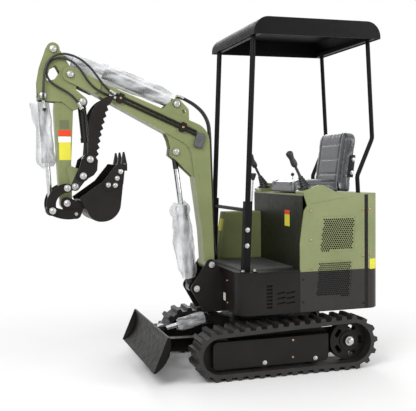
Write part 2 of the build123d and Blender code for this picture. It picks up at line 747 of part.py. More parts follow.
def make_hood():
    """Top of the engine cover, which the seat stands on."""
    inner = HOUSE_HALF - WALL - FIT
    front = SEAT_BOX_X + WALL
    hood = house_outline(0) & (
        Pos((HOUSE_REAR + front) / 2, 0) * Rectangle(front - HOUSE_REAR, 2 * HOUSE_HALF)
    )
    strip = Pos((PANEL_REAR - FIT + front + 50) / 2, 0) * Rectangle(
        front + 50 - PANEL_REAR + FIT, 4 * HOUSE_HALF,
    )
    core = Pos((PANEL_REAR + front) / 2, 0) * Rectangle(2 * (front - PANEL_REAR), 2 * inner)
    return top_face(hood - (strip - core), HOOD_LOW, HOOD_TOP)


def make_seat_box():
    """Upright wall under the seat's front edge."""
    inner = HOUSE_HALF - WALL - FIT
    wall = Pos(SEAT_BOX_X + WALL / 2, 0) * Rectangle(WALL, 2 * inner)
    return top_face(wall, FLOOR_TOP, HOOD_LOW)


def make_tank():
    """Tank housing beside the operator's right foot, with a slanted front."""
    face = polygon(
        (SEAT_BOX_X + WALL + FIT, FLOOR_TOP), (TANK_FOOT_X, FLOOR_TOP), (TANK_TOP_X, TANK_TOP),
        (SEAT_BOX_X + WALL + FIT, TANK_TOP),
    )
    tank = side_face(face, -HOUSE_HALF + WALL + FIT, -TANK_INNER)
    return fillet(tank.edges().filter_by(Axis.X), 14)


def make_consoles():
    """Armrest housings that carry the control levers."""
    high = HOUSE_HALF - WALL - FIT
    face = polygon(
        (CONSOLE_REAR, HOOD_TOP), (SEAT_BOX_X, HOOD_TOP), (SEAT_BOX_X, CONSOLE_TOP - 6),
        (SEAT_BOX_X - 8, CONSOLE_TOP), (CONSOLE_REAR + 30, CONSOLE_TOP),
    )
    console = side_face(face, high - CONSOLE_WIDTH, high)
    return [console, mirrored(console)]


def make_joysticks():
    """Control levers with ribbed bellows on round bases."""
    base_top = CONSOLE_TOP + JOYSTICK_BASE
    way, length = direction((JOYSTICK_X, base_top), JOYSTICK_HEAD)
    plane = Plane(origin=(JOYSTICK_X, JOYSTICK_Y, base_top), x_dir=(0, 1, 0), z_dir=way)
    low = (Align.CENTER, Align.CENTER, Align.MIN)
    base = Pos(JOYSTICK_X, JOYSTICK_Y, CONSOLE_TOP) * Cylinder(JOYSTICK_BASE_R, JOYSTICK_BASE, align=low)
    outline = [(0, -BELLOWS_SINK), (JOYSTICK_BASE_R - 8, -BELLOWS_SINK), (JOYSTICK_BASE_R - 8, 2)]
    for rib in range(BELLOWS):
        radius = JOYSTICK_BASE_R - 8 - rib * BELLOWS_TAPER
        outline.append((radius, rib * BELLOWS_PITCH + 6))
        outline.append((radius - BELLOWS_TAPER - 3, (rib + 1) * BELLOWS_PITCH))
    neck = BELLOWS * BELLOWS_PITCH
    outline += [(9, neck + 8), (9, length - 112), (16, length - 106)]
    profile = Polyline(*outline)
    grip = Spline((16, length - 106), (20, length - 76), (17, length - 52), (23, length - 18), (0, length))
    face = make_face([profile, grip, Line((0, length), (0, -BELLOWS_SINK))])
    lever = base + plane * revolve(Plane.XZ * face, Axis.Z)
    return [lever, mirrored(lever)]


def make_travel_levers():
    """Pair of drive levers on the floor, with flared knobs."""
    levers = []
    low = (Align.CENTER, Align.CENTER, Align.MIN)
    way, length = direction((LEVER_FOOT_X, MAT_TOP), LEVER_HEAD)
    for y in LEVER_Y:
        foot = (LEVER_FOOT_X, y, MAT_TOP + LEVER_R * abs(way.X) + FIT)
        plane = Plane(origin=foot, x_dir=(0, 1, 0), z_dir=way)
        shaft = plane * Cylinder(LEVER_R, length, align=low)
        knob = Cone(KNOB_FOOT_R, KNOB_R, KNOB, align=low)
        knob = fillet(knob.edges().group_by(Axis.Z)[-1], KNOB_R / 3)
        levers.append(shaft + plane * Pos(0, 0, length - KNOB / 2) * knob)
    return levers


def make_blade_lever():
    """Small lever with a ball on the operator's right."""
    x, y = BLADE_LEVER
    low = (Align.CENTER, Align.CENTER, Align.MIN)
    rod = Cylinder(BLADE_LEVER_R, BLADE_LEVER_HIGH - HOOD_TOP - FIT, align=low)
    boot = Cone(3 * BLADE_LEVER_R, 2 * BLADE_LEVER_R, 4 * BLADE_LEVER_R, align=low)
    ball = Pos(0, 0, BLADE_LEVER_HIGH - HOOD_TOP) * Sphere(BLADE_KNOB_R)
    return Pos(x, y, HOOD_TOP + FIT) * (rod + boot + ball)


def make_seat_cushion():
    """Seat cushion on the hood."""
    middle = SEAT_REAR + SEAT_LENGTH / 2
    cushion = Pos(middle, 0, HOOD_TOP + FIT + SEAT_THICK / 2) * Box(SEAT_LENGTH, SEAT_WIDTH, SEAT_THICK)
    return fillet(cushion.edges(), SEAT_ROUND)


def make_seat_back():
    """Leaning backrest behind the cushion, with its foot on the hood."""
    lean = math.radians(SEAT_LEAN)
    tall = SEAT_BACK_HEIGHT / 2 - SEAT_ROUND
    thick = SEAT_THICK / 2 - SEAT_ROUND
    drop = tall * math.cos(lean) + thick * math.sin(lean) + SEAT_ROUND
    reach = tall * math.sin(lean) + thick * math.cos(lean) + SEAT_ROUND
    place = Pos(SEAT_REAR - reach - FIT, 0, HOOD_TOP + FIT + drop)
    face = Rectangle(SEAT_WIDTH, SEAT_BACK_HEIGHT)
    face = fillet(face.vertices().group_by(Axis.Y)[-1], SEAT_CORNER)
    rest = extrude(Plane.YZ * face, SEAT_THICK / 2, both=True)
    return place * Rot(0, -SEAT_LEAN, 0) * fillet(rest.edges(), SEAT_ROUND)


def make_engine():
    """Engine as one block on the deck."""
    return Pos(ENGINE_X, 0, DECK_TOP + ENGINE_HEIGHT / 2) * Box(ENGINE_LENGTH, ENGINE_WIDTH, ENGINE_HEIGHT)


def make_roof():
    """Canopy roof: a sheet rounded down at front and rear between two upright side plates."""
    face = polygon(
        (ROOF_REAR, ROOF_LOW), (ROOF_FRONT, ROOF_LOW), (ROOF_FRONT, ROOF_HIGH),
        (ROOF_REAR, ROOF_HIGH),
    )
    top = face.vertices().sort_by(Axis.Y)[2:]
    face = fillet(top, ROOF_ROUND)
    inner = offset(face, -ROOF_SHEET)
    lift = polygon(
        (ROOF_REAR + ROOF_SHEET, ROOF_LOW - 1), (ROOF_FRONT - ROOF_SHEET, ROOF_LOW - 1),
        (ROOF_FRONT - ROOF_SHEET, ROOF_LOW + 2 * ROOF_SHEET),
        (ROOF_REAR + ROOF_SHEET, ROOF_LOW + 2 * ROOF_SHEET),
    )
    hollow = side_face(inner + lift, -ROOF_HALF + ROOF_SHEET, ROOF_HALF - ROOF_SHEET)
    return side_face(face, -ROOF_HALF, ROOF_HALF) - hollow


def front_post_x(z):
    """Place along X of the leaning front posts at a height."""
    share = (z - FLOOR_TOP) / (ROOF_LOW - FLOOR_TOP)
    return FRONT_FOOT_X + (FRONT_HEAD_X - FRONT_FOOT_X) * share


def roof_rail(x):
    """Cross rail inside the roof that the posts end under."""
    half = ROOF_HALF - ROOF_SHEET - FIT
    return Pos(x, 0, ROOF_LOW + RAIL / 2) * Box(RAIL, 2 * half, RAIL)


def make_front_frame():
    """Front posts in their sleeves, with a crossbar and the front roof rail."""
    foot = (front_post_x(FLOOR_TOP), FLOOR_TOP)
    head = (front_post_x(ROOF_LOW + 2), ROOF_LOW + 2)
    lift = POST_R / 2
    frame = roof_rail(FRONT_HEAD_X - RAIL_INSET)
    frame += both_sides(Pos(0, POST_Y, 0) * rod_between(foot, head, lift, direction(foot, head)[1], POST_R))
    half = SLEEVE / 2
    sleeve = polygon(
        (foot[0] - half, FLOOR_TOP), (foot[0] + half, FLOOR_TOP),
        (front_post_x(SLEEVE_TOP) + half, SLEEVE_TOP), (front_post_x(SLEEVE_TOP) - half, SLEEVE_TOP),
    )
    frame += both_sides(side_face(sleeve, POST_Y - half, POST_Y + half))
    frame += side_face(disc((front_post_x(CROSSBAR_Z), CROSSBAR_Z), CROSSBAR_R), -POST_Y, POST_Y)
    return frame


def make_rear_frame():
    """Bent rear posts with the rear roof rail."""
    path = FilletPolyline(
        (REAR_FOOT_X, HOOD_TOP), REAR_KNEE, REAR_BEND, (REAR_HEAD_X, ROOF_LOW + 2), radius=REAR_TURN
    )
    wire = Plane.XZ * path
    post = sweep(Plane(origin=wire @ 0, z_dir=wire % 0) * Circle(REAR_POST_R), path=wire)
    height = ROOF_HIGH - HOOD_TOP
    post &= Pos(REAR_BEND[0], 0, HOOD_TOP + height / 2) * Box(height, 4 * REAR_POST_R, height)
    return both_sides(Pos(0, POST_Y, 0) * post) + roof_rail(REAR_HEAD_X)


def boom_outline():
    """The bent box of the boom seen along the machine's width."""
    half = BOOM_LOW_DEPTH / 2
    shape = polygon(
        (BOOM_FOOT[0] - half, BOOM_FOOT[1]), (BOOM_FOOT[0] + half, BOOM_FOOT[1]),
        BOOM_SHIN, BOOM_INNER_BEND, BOOM_NECK_LOW, BOOM_NECK_TOP, BOOM_OUTER_BEND,
    )
    inner = shape.vertices().sort_by_distance(BOOM_INNER_BEND)[0]
    shape = fillet(inner, BOOM_INNER_R)
    outer = shape.vertices().sort_by_distance(BOOM_OUTER_BEND)[0]
    return fillet(outer, BOOM_OUTER_R)


def make_boom():
    """Bent boom with the brackets of its two cylinders and its tip fork."""
    boom = side_face(boom_outline(), -BOOM_HALF, BOOM_HALF)
    boom += side_face(disc(BOOM_FOOT, 38), -BRACKET_IN + SIDE_GAP, BRACKET_IN - SIDE_GAP)
    boom -= side_face(disc(BOOM_FOOT, PIN_R + FIT), -BRACKET_IN, BRACKET_IN)
    fork = make_hull((disc(BOOM_TIP, 46) + disc(FORK_ROOT, 44)).edges()) - disc(BOOM_TIP, PIN_R + FIT)
    boom += both_sides(side_face(fork, BOOM_HALF, BOOM_HALF + FORK_PLATE))
    lower = polygon(*LIFT_EAR)
    boom += both_sides(side_face(lower, EAR_IN, EAR_IN + EAR_PLATE))
    upper = make_hull((disc(STICK_BASE_PIN, 36) + disc(LIFT_EYE, 32) + polygon(*CROWN_ROOT)).edges())
    upper -= disc(STICK_BASE_PIN, PIN_R + FIT) + disc(LIFT_EYE, LIFT_EYE_R)
    boom += both_sides(side_face(upper, EAR_IN, EAR_IN + EAR_PLATE))
    return boom + stub_pins(BOOM_ROD_PIN, EAR_IN - SIDE_GAP, EAR_IN + EAR_PLATE)


def make_boom_pipes():
    """Two steel pipes in clamps on the boom's left side."""
    y = BOOM_HALF + PIPE_R + SIDE_GAP
    ball = []
    for front, rear in PIPES:
        way, length = direction(rear, front)
        plane = Plane(origin=(rear[0], y, rear[1]), x_dir=(0, 1, 0), z_dir=way)
        ball.append(plane * Cylinder(PIPE_R, length, align=(Align.CENTER, Align.CENTER, Align.MIN)))
    pipes = ball[0] + ball[1]
    for place in PIPE_CLAMPS:
        way, length = direction(PIPES[0][1], PIPES[0][0])
        turn = math.degrees(math.atan2(way.Z, way.X))
        block = Pos(*place) * Rot(0, 0, turn) * RectangleRounded(CLAMP_LENGTH, CLAMP_HEIGHT, 6)
        pipes += side_face(block, BOOM_HALF, y + PIPE_R + SIDE_GAP)
    return pipes


def hose(points, radius):
    """A hose along straight runs joined by arcs as wide as the runs allow."""
    places = [Vector(*point) for point in points]
    radii = []
    for before, here, after in zip(places, places[1:], places[2:]):
        first = here - before
        last = after - here
        half_turn = math.radians(first.get_angle(last)) / 2
        radii.append(0.45 * min(first.length, last.length) / math.tan(half_turn))
    print("hose radii", [round(value) for value in radii])
    path = FilletPolyline(*places, radius=radii)
    return sweep(Plane(origin=path @ 0, z_dir=path % 0) * Circle(radius), path=path)


def make_boom_hoses():
    """Pair of hoses clipped down the boom's back."""
    left = hose([(x, BACK_HOSE_Y, z) for x, z in BACK_HOSE], HOSE_R)
    hoses = [left, mirrored(left)]
    clips = []
    slope = (BOOM_OUTER_BEND[0] - BOOM_FOOT[0] + BOOM_LOW_DEPTH / 2) / (BOOM_OUTER_BEND[1] - BOOM_FOOT[1])
    for z in CLIP_Z:
        edge = BOOM_FOOT[0] - BOOM_LOW_DEPTH / 2 + slope * (z - BOOM_FOOT[1]) - 2 * FIT
        depth = 2 * HOSE_R + 4
        clips.append(Pos(edge - depth / 2, 0, z) * Box(depth, 2 * BACK_HOSE_Y + 2 * HOSE_R + 6, CLIP_WIDTH))
    bundle = hoses[0] + hoses[1]
    for clip in clips:
        bundle += clip
    return bundle


def make_stick_hoses():
    """Two hoses that arch from the boom's pipes over the stick's head to its cylinders."""
    return [hose(LONG_HOSE, HOSE_R - 1), hose(THUMB_HOSE, HOSE_R - 1)]


def hose_port(base, eye, distance, radius, reach):
    """Side fitting of a barrel, on the machine's left."""
    place = along(base, eye, distance)
    return side_face(disc(place, PORT_R), radius * 0.8, reach)


def make_boom_pins():
    """Pins of the stick's pivot and of the stick cylinder's base."""
    return [pin(BOOM_TIP, BOOM_HALF + FORK_PLATE), pin(STICK_BASE_PIN, EAR_IN + EAR_PLATE)]


def make_stick():
    """Stick: a tapering box between two head plates, with the thumb's bracket on its rear."""
    stick = side_face(polygon(*STICK_BOX), -STICK_HALF, STICK_HALF)
    tip = disc(BUCKET_PIVOT, STICK_TIP_R)
    stick += side_face(tip, -STICK_HALF, STICK_HALF)
    head = polygon(*STICK_HEAD) + disc(STICK_ROD_PIN, STICK_CROWN_R)
    window = polygon(*STICK_WINDOW)
    head -= fillet(window.vertices(), STICK_WINDOW_R)
    for place in (BOOM_TIP, BUCKET_BASE_PIN, THUMB_BASE_PIN):
        head -= disc(place, PIN_R + FIT)
    stick += both_sides(side_face(head, STICK_HALF, STICK_HALF + STICK_PLATE))
    hub = disc(BOOM_TIP, STICK_HUB_R) - disc(BOOM_TIP, PIN_R + FIT)
    stick += side_face(hub, -STICK_HALF, STICK_HALF)
    stick += stub_pins(STICK_ROD_PIN, STICK_HALF - 4, STICK_HALF + STICK_PLATE)
    stick -= side_face(disc(THUMB_BOLT, BOLT_R + FIT), -STICK_HALF, STICK_HALF)
    spacer = SIDE_LINK_LOW - FIT
    stick += side_face(disc(LINK_PIVOT, SPACER_R), -spacer, spacer)
    for place in (BUCKET_PIVOT, LINK_PIVOT):
        stick -= side_face(disc(place, PIN_R + FIT), -SIDE_LINK_HIGH, SIDE_LINK_HIGH)
    return stick


def make_thumb_bracket():
    """Plates bolted to the stick's sides that carry the thumb's pin."""
    plate = make_hull((disc(THUMB_PIVOT, 34) + disc(THUMB_BOLT, 26) + disc(THUMB_FOOT, 20)).edges())
    plate -= disc(THUMB_PIVOT, PIN_R + FIT)
    high = STICK_HALF + THUMB_BRACKET
    bracket = both_sides(side_face(plate, STICK_HALF, high))
    return bracket + side_face(disc(THUMB_BOLT, BOLT_R), -STICK_HALF, STICK_HALF)


def make_stick_pins():
    """Pins that the stick carries: bucket, links, thumb and two cylinder bases."""
    head = STICK_HALF + STICK_PLATE
    return [
        pin(BUCKET_PIVOT, EAR_HIGH), pin(LINK_PIVOT, SIDE_LINK_HIGH), pin(BUCKET_BASE_PIN, head),
        pin(THUMB_BASE_PIN, head), pin(THUMB_PIVOT, THUMB_IN + THUMB_PLATE),
    ]


def bucket_outline():
    """The bucket's side seen along the machine's width."""
    low = (BUCKET_CENTRE[0] + 6, BUCKET_CENTRE[1] - BUCKET_R)
    heel = (BUCKET_CENTRE[0] - BUCKET_R, BUCKET_CENTRE[1] - 10)
    round_low = (BUCKET_CENTRE[0] - 0.7 * BUCKET_R, BUCKET_CENTRE[1] - 0.7 * BUCKET_R)
    round_back = (BUCKET_CENTRE[0] + 0.61 * BUCKET_R, BUCKET_CENTRE[1] - 0.83 * BUCKET_R)
    return make_face([
        Line(BUCKET_LIP, heel), ThreePointArc(heel, round_low, low),
        ThreePointArc(low, round_back, BUCKET_BACK),
        Line(BUCKET_BACK, BUCKET_TOP), Line(BUCKET_TOP, BUCKET_WAIST), Line(BUCKET_WAIST, BUCKET_CUTTER),
        Line(BUCKET_CUTTER, BUCKET_LIP),
    ])


def make_bucket():
    """Bucket shell open at its mouth, with pointed teeth, side cutters and two ears."""
    outline = bucket_outline()
    inner = BUCKET_HALF - BUCKET_PLATE
    deep = 2 * BUCKET_PLATE
    mouth = polygon(
        (BUCKET_TOP[0] - 4, BUCKET_TOP[1] - deep), (BUCKET_WAIST[0], BUCKET_WAIST[1] - deep),
        (BUCKET_LIP[0] + BUCKET_PLATE, BUCKET_CUTTER[1] - deep),
        (BUCKET_LIP[0] + BUCKET_PLATE, BUCKET_CUTTER[1] + deep),
        (BUCKET_TOP[0] + deep, BUCKET_CUTTER[1] + deep), (BUCKET_TOP[0] + deep, BUCKET_TOP[1] + deep / 2),
    )
    bucket = side_face(outline, -BUCKET_HALF, BUCKET_HALF)
    bucket -= side_face(offset(outline, -BUCKET_PLATE) + mouth, -inner, inner)
    shank = polygon(
        (BUCKET_LIP[0] - TOOTH_THICK / 2, BUCKET_LIP[1] - TOOTH_ROOT),
        (BUCKET_LIP[0] + TOOTH_THICK / 2, BUCKET_LIP[1] - TOOTH_ROOT),
        (BUCKET_LIP[0] + TOOTH_THICK / 2, BUCKET_LIP[1]),
        (BUCKET_LIP[0] + TOOTH_TIP, BUCKET_LIP[1] + TOOTH),
        (BUCKET_LIP[0] - TOOTH_TIP, BUCKET_LIP[1] + TOOTH),
        (BUCKET_LIP[0] - TOOTH_THICK / 2, BUCKET_LIP[1]),
    )
    for y in (-BUCKET_HALF + TOOTH_WIDTH, 0, BUCKET_HALF - TOOTH_WIDTH):
        half = TOOTH_WIDTH / 2
        point = Plane.YZ * polygon(
            (y - half, BUCKET_LIP[1] - TOOTH_ROOT), (y + half, BUCKET_LIP[1] - TOOTH_ROOT),
            (y + half, BUCKET_LIP[1]),
            (y + TOOTH_TIP, BUCKET_LIP[1] + TOOTH), (y - TOOTH_TIP, BUCKET_LIP[1] + TOOTH),
            (y - half, BUCKET_LIP[1]),
        )
        blank = extrude(
            Pos(BUCKET_LIP[0] - TOOTH_THICK, 0, 0) * point, amount=2 * TOOTH_THICK, dir=(1, 0, 0),
        )
        bucket += blank & side_face(shank, y - half, y + half)
    cutter = make_hull((disc(CUTTER_BOLT, CUTTER_R) + polygon(
        BUCKET_CUTTER, BUCKET_LIP, (BUCKET_LIP[0] + 14, BUCKET_LIP[1] - CUTTER_DROP),
        (BUCKET_CUTTER[0], BUCKET_CUTTER[1] - 20),
    )).edges())
    bucket += both_sides(side_face(cutter, BUCKET_HALF, BUCKET_HALF + CUTTER_PLATE))
    ear = make_hull(
        (disc(BUCKET_PIVOT, 36) + disc(BUCKET_LINK_PIN, 32) + disc(BUCKET_EAR_FOOT, 20)).edges(),
    )
    ear -= disc(BUCKET_PIVOT, PIN_R + FIT)
    return bucket + both_sides(side_face(ear, EAR_LOW, EAR_HIGH))


def make_side_links():
    """Pair of hooked links from the stick to the knee, with the knee's stub pins."""
    middle = SlotArc(ThreePointArc(LINK_PIVOT, LINK_BEND, LINK_KNEE), 2 * LINK_R)
    plate = middle - disc(LINK_PIVOT, PIN_R + FIT)
    links = both_sides(side_face(plate, SIDE_LINK_LOW, SIDE_LINK_HIGH))
    return links + stub_pins(LINK_KNEE, EAR_IN - SIDE_GAP, SIDE_LINK_HIGH)


def make_bucket_link():
    """Pair of bowed links from the knee to the bucket, open at the bucket's pin."""
    way, length = direction(LINK_KNEE, BUCKET_LINK_PIN)
    middle = along(LINK_KNEE, BUCKET_LINK_PIN, length / 2)
    bow = (middle[0] - way.Z * LINK_BOW, middle[1] + way.X * LINK_BOW)
    plate = SlotArc(ThreePointArc(LINK_KNEE, bow, BUCKET_LINK_PIN), 2 * LINK_R)
    plate -= disc(LINK_KNEE, PIN_R + FIT)
    return both_sides(side_face(plate, OUTER_LINK_LOW, OUTER_LINK_HIGH))


def thumb_teeth():
    """Notches that leave a row of teeth on the thumb's gripping edge."""
    edge = ThreePointArc(*THUMB_EDGE)
    count = int(edge.length / THUMB_PITCH)
    inward = Vector(THUMB_ROD_PIN) - Vector(THUMB_EDGE[1])
    notches = []
    for index in range(count):
        first = edge.position_at(index / count)
        last = edge.position_at((index + 1) / count)
        run = edge.tangent_at((index + 0.5) / count)
        across = Vector(-run.Y, run.X)
        if across.dot(inward) < 0:
            across = -across
        deep = (first + last) / 2 + across * THUMB_TOOTH
        near = first - across
        far = last - across
        notches.append(polygon((near.X, near.Y), (deep.X, deep.Y), (far.X, far.Y)))
    return notches


def make_thumb():
    """Thumb: two plates with toothed edges joined by tubes, with stub pins for its cylinder."""
    edge = ThreePointArc(*THUMB_EDGE)
    front = Spline(THUMB_TIP, *THUMB_BACK)
    heel = Polyline(
        THUMB_BACK[-1], (THUMB_ROD_PIN[0] + 14, THUMB_ROD_PIN[1] + 28),
        (THUMB_ROD_PIN[0] + 50, THUMB_ROD_PIN[1]),
        (THUMB_PIVOT[0] + 30, THUMB_PIVOT[1] + 16), (THUMB_PIVOT[0], THUMB_PIVOT[1] - 34),
        (THUMB_PIVOT[0] - 66, THUMB_PIVOT[1] + 4),
        (THUMB_EDGE[2][0] + 6, THUMB_EDGE[2][1] - 60), THUMB_EDGE[2],
    )
    plate = make_face([front, heel, edge, Line(THUMB_EDGE[0], THUMB_TIP)])
    plate += disc(THUMB_PIVOT, 34)
    for notch in thumb_teeth():
        plate -= notch
    plate -= disc(THUMB_PIVOT, PIN_R + FIT)
    thumb = both_sides(side_face(plate, THUMB_IN, THUMB_IN + THUMB_PLATE))
    thumb += side_face(disc(THUMB_TUBE, 14), -THUMB_IN, THUMB_IN)
    return thumb + stub_pins(THUMB_ROD_PIN, EAR_IN, THUMB_IN + THUMB_PLATE)


def save(name, pieces):
    """Write one node, placed in the part's frame."""
    group = pieces if isinstance(pieces, list) else [pieces]
    solids = []
    for piece in group:
        for solid in piece.solids():
            solids.append(Pos(SLEW_X, 0, 0) * solid)
    shape = solids[0] if len(solids) == 1 else Compound(children=solids)
    shape.label = name
    export_step(shape, os.path.join("parts", name + ".step"))


def pairs(pieces):
    """Left-hand pieces followed by their right-hand mirror images."""
    return pieces + [mirrored(piece) for piece in pieces]


def main():
    os.makedirs("parts", exist_ok=True)
    track = make_track()
    save("track_left", track)
    save("track_right", mirrored(track))
    frame = make_track_frame()
    save("track_frame_left", frame)
    save("track_frame_right", mirrored(frame))
    save("idlers", pairs([make_idler()]))
    save("sprockets", pairs([make_sprocket()]))
    save("track_rollers", pairs(make_rollers()))
    save("travel_motors", pairs(make_travel_motor()))
    save("car_body", make_car_body())
    save("slew_ring", make_slew_ring())
    save("dozer_blade", make_blade())
    save("blade_cylinder_barrel", cylinder_barrel(
        BLADE_BASE_PIN, BLADE_ROD_PIN, BLADE_BARREL, BLADE_BARREL_R, BLADE_ROD_R, BLADE_EYE_HALF,
    ))
    save("blade_cylinder_rod", cylinder_rod(
        BLADE_BASE_PIN, BLADE_ROD_PIN, BLADE_ROD, BLADE_ROD_R, BLADE_ROD_EYE_HALF,
    ))
    save("house_deck", make_deck())
    save("boom_bracket", make_boom_bracket())
    save("house_pins", make_house_pins())
    save("front_skirt", make_front_skirt())
    skirt = make_side_skirt()
    save("side_skirt_left", skirt)
    save("side_skirt_right", mirrored(skirt))
    save("floor_plate", make_floor())
    save("floor_mat", make_mat())
    panel = make_side_panel()
    save("side_panel_left", panel)
    save("side_panel_right", mirrored(panel))
    save("side_grilles", pairs(make_grilles()))
    save("rear_panel", make_rear_panel())
    save("cover_straps", make_straps())
    save("hood_top", make_hood())
    save("seat_box", make_seat_box())
    save("tank_housing", make_tank())
    save("consoles", make_consoles())
    save("joysticks", make_joysticks())
    save("travel_levers", make_travel_levers())
    save("blade_lever", make_blade_lever())
    save("seat_cushion", make_seat_cushion())
    save("seat_back", make_seat_back())
    save("engine_block", make_engine())
    save("canopy_roof", make_roof())
    save("canopy_front_frame", make_front_frame())
    save("canopy_rear_frame", make_rear_frame())
    save("boom", make_boom())
    save("boom_pins", make_boom_pins())
    save("boom_pipes", make_boom_pipes())
    save("boom_hoses", make_boom_hoses())
    save("boom_cylinder_barrel", cylinder_barrel(
        BOOM_BASE_PIN, BOOM_ROD_PIN, BOOM_BARREL, BOOM_BARREL_R, BOOM_ROD_R, BOOM_EYE_HALF,
    ))
    save("boom_cylinder_rod", cylinder_rod(
        BOOM_BASE_PIN, BOOM_ROD_PIN, BOOM_ROD, BOOM_ROD_R, BOOM_ROD_EYE_HALF,
    ))
    save("stick", make_stick())
    save("stick_pins", make_stick_pins())
    save("thumb_bracket", make_thumb_bracket())
    save("stick_hoses", make_stick_hoses())
    save("stick_cylinder_barrel", cylinder_barrel(
        STICK_BASE_PIN, STICK_ROD_PIN, STICK_BARREL, STICK_BARREL_R, STICK_ROD_R, STICK_EYE_HALF,
    ))
    save("stick_cylinder_rod", cylinder_rod(
        STICK_BASE_PIN, STICK_ROD_PIN, STICK_ROD, STICK_ROD_R, STICK_ROD_EYE_HALF,
    ))
    save("bucket", make_bucket())
    save("side_links", make_side_links())
    save("bucket_link", make_bucket_link())
    barrel = cylinder_barrel(
        BUCKET_BASE_PIN, LINK_KNEE, BUCKET_BARREL, BUCKET_BARREL_R, BUCKET_ROD_R, BUCKET_EYE_HALF,
    )
    port = hose_port(BUCKET_BASE_PIN, LINK_KNEE, BUCKET_PORT, BUCKET_BARREL_R, BUCKET_PORT_REACH)
    save("bucket_cylinder_barrel", barrel + port)
    save("bucket_cylinder_rod", cylinder_rod(
        BUCKET_BASE_PIN, LINK_KNEE, BUCKET_ROD, BUCKET_ROD_R, BUCKET_ROD_EYE_HALF,
    ))
    save("thumb", make_thumb())
    barrel = cylinder_barrel(
        THUMB_BASE_PIN, THUMB_ROD_PIN, THUMB_BARREL, THUMB_BARREL_R, THUMB_ROD_R, THUMB_EYE_HALF,
    )
    port = hose_port(THUMB_BASE_PIN, THUMB_ROD_PIN, THUMB_PORT, THUMB_BARREL_R, THUMB_PORT_REACH)
    save("thumb_cylinder_barrel", barrel + port)
    save("thumb_cylinder_rod", cylinder_rod(
        THUMB_BASE_PIN, THUMB_ROD_PIN, THUMB_ROD, THUMB_ROD_R, THUMB_EYE_HALF,
    ))


main()
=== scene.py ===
import math

import bpy
from mathutils import Matrix, Vector


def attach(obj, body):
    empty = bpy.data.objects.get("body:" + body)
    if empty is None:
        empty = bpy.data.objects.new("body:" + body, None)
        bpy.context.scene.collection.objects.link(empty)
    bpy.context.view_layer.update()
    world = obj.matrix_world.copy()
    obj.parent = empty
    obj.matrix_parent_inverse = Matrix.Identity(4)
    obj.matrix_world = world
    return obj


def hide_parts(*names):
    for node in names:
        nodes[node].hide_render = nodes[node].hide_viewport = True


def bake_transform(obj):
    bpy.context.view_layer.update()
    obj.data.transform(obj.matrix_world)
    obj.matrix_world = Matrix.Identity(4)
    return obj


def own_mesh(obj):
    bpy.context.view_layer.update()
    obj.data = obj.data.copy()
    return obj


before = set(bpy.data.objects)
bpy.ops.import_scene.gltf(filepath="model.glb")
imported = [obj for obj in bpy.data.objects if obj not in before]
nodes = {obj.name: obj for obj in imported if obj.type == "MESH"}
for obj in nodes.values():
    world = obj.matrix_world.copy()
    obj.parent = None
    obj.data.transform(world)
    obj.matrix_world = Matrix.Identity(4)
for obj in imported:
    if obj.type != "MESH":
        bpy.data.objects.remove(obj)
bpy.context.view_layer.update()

LEFT = Vector((0, 1, 0))
UP = Vector((0, 0, 1))
BOTH_SIDES = (1, -1)
SLEW_X = 390

# Pins of the arm, as x and z in millimetres

BOOM_FOOT = (375, 664)
BOOM_BARREL_PIN = (478, 514)
BOOM_ROD_PIN = (591, 1394)
STICK_PIVOT = (1253, 1867)
STICK_BARREL_PIN = (582, 1699)
STICK_ROD_PIN = (1351, 2018)
BUCKET_BARREL_PIN = (1417, 1736)
BUCKET_ROD_PIN = (1377, 1038)
BUCKET_PIN = (1286, 1081)
BUCKET_LINK_PIN = (1232, 1014)
SIDE_LINK_PIN = (1286, 1174)
THUMB_PIVOT = (1191, 1247)
THUMB_BOLT = (1233, 1181)
THUMB_BARREL_PIN = (1179, 1703)
THUMB_ROD_PIN = (1147, 1348)
BLADE_BARREL_PIN = (352, 312)
BLADE_ROD_PIN = (690, 243)


def at(x, y, z):
    """A point of the machine, given in millimetres from the slew axis."""
    return Vector(((x - SLEW_X) / 1000, y / 1000, z / 1000))


def on_axis(pin):
    """A pin's place in the machine's middle plane."""
    return at(pin[0], 0, pin[1])


def shade(red, green, blue):
    """A colour as it looks on a screen, 0 to 255, made ready for a shader."""
    def channel(value):
        value = value / 255
        return value / 12.92 if value < 0.04045 else ((value + 0.055) / 1.055) ** 2.4
    return (channel(red), channel(green), channel(blue), 1.0)


# Finishes

EDGE = 0.0005


def new_finish(name):
    """A new material with its node tree, its shader and the object coordinates."""
    finish = bpy.data.materials.new(name)
    finish.use_nodes = True
    tree = finish.node_tree
    shader = tree.nodes["Principled BSDF"]
    place = tree.nodes.new("ShaderNodeTexCoord")
    return finish, tree, shader, place.outputs["Object"]


def noise(tree, place, scale, detail=4.0, stretch=None):
    """A cloudy value from 0 to 1, stretched along an axis if asked."""
    texture = tree.nodes.new("ShaderNodeTexNoise")
    texture.inputs["Scale"].default_value = scale
    texture.inputs["Detail"].default_value = detail
    if stretch:
        mapping = tree.nodes.new("ShaderNodeMapping")
        mapping.inputs["Scale"].default_value = stretch
        tree.links.new(place, mapping.inputs["Vector"])
        place = mapping.outputs["Vector"]
    tree.links.new(place, texture.inputs["Vector"])
    return texture.outputs["Fac"]


def ramp(tree, value, low, high, first, last):
    """A value's span from low to high, spread over first to last."""
    node = tree.nodes.new("ShaderNodeMapRange")
    node.inputs["From Min"].default_value = low
    node.inputs["From Max"].default_value = high
    node.inputs["To Min"].default_value = first
    node.inputs["To Max"].default_value = last
    tree.links.new(value, node.inputs["Value"])
    return node.outputs["Result"]


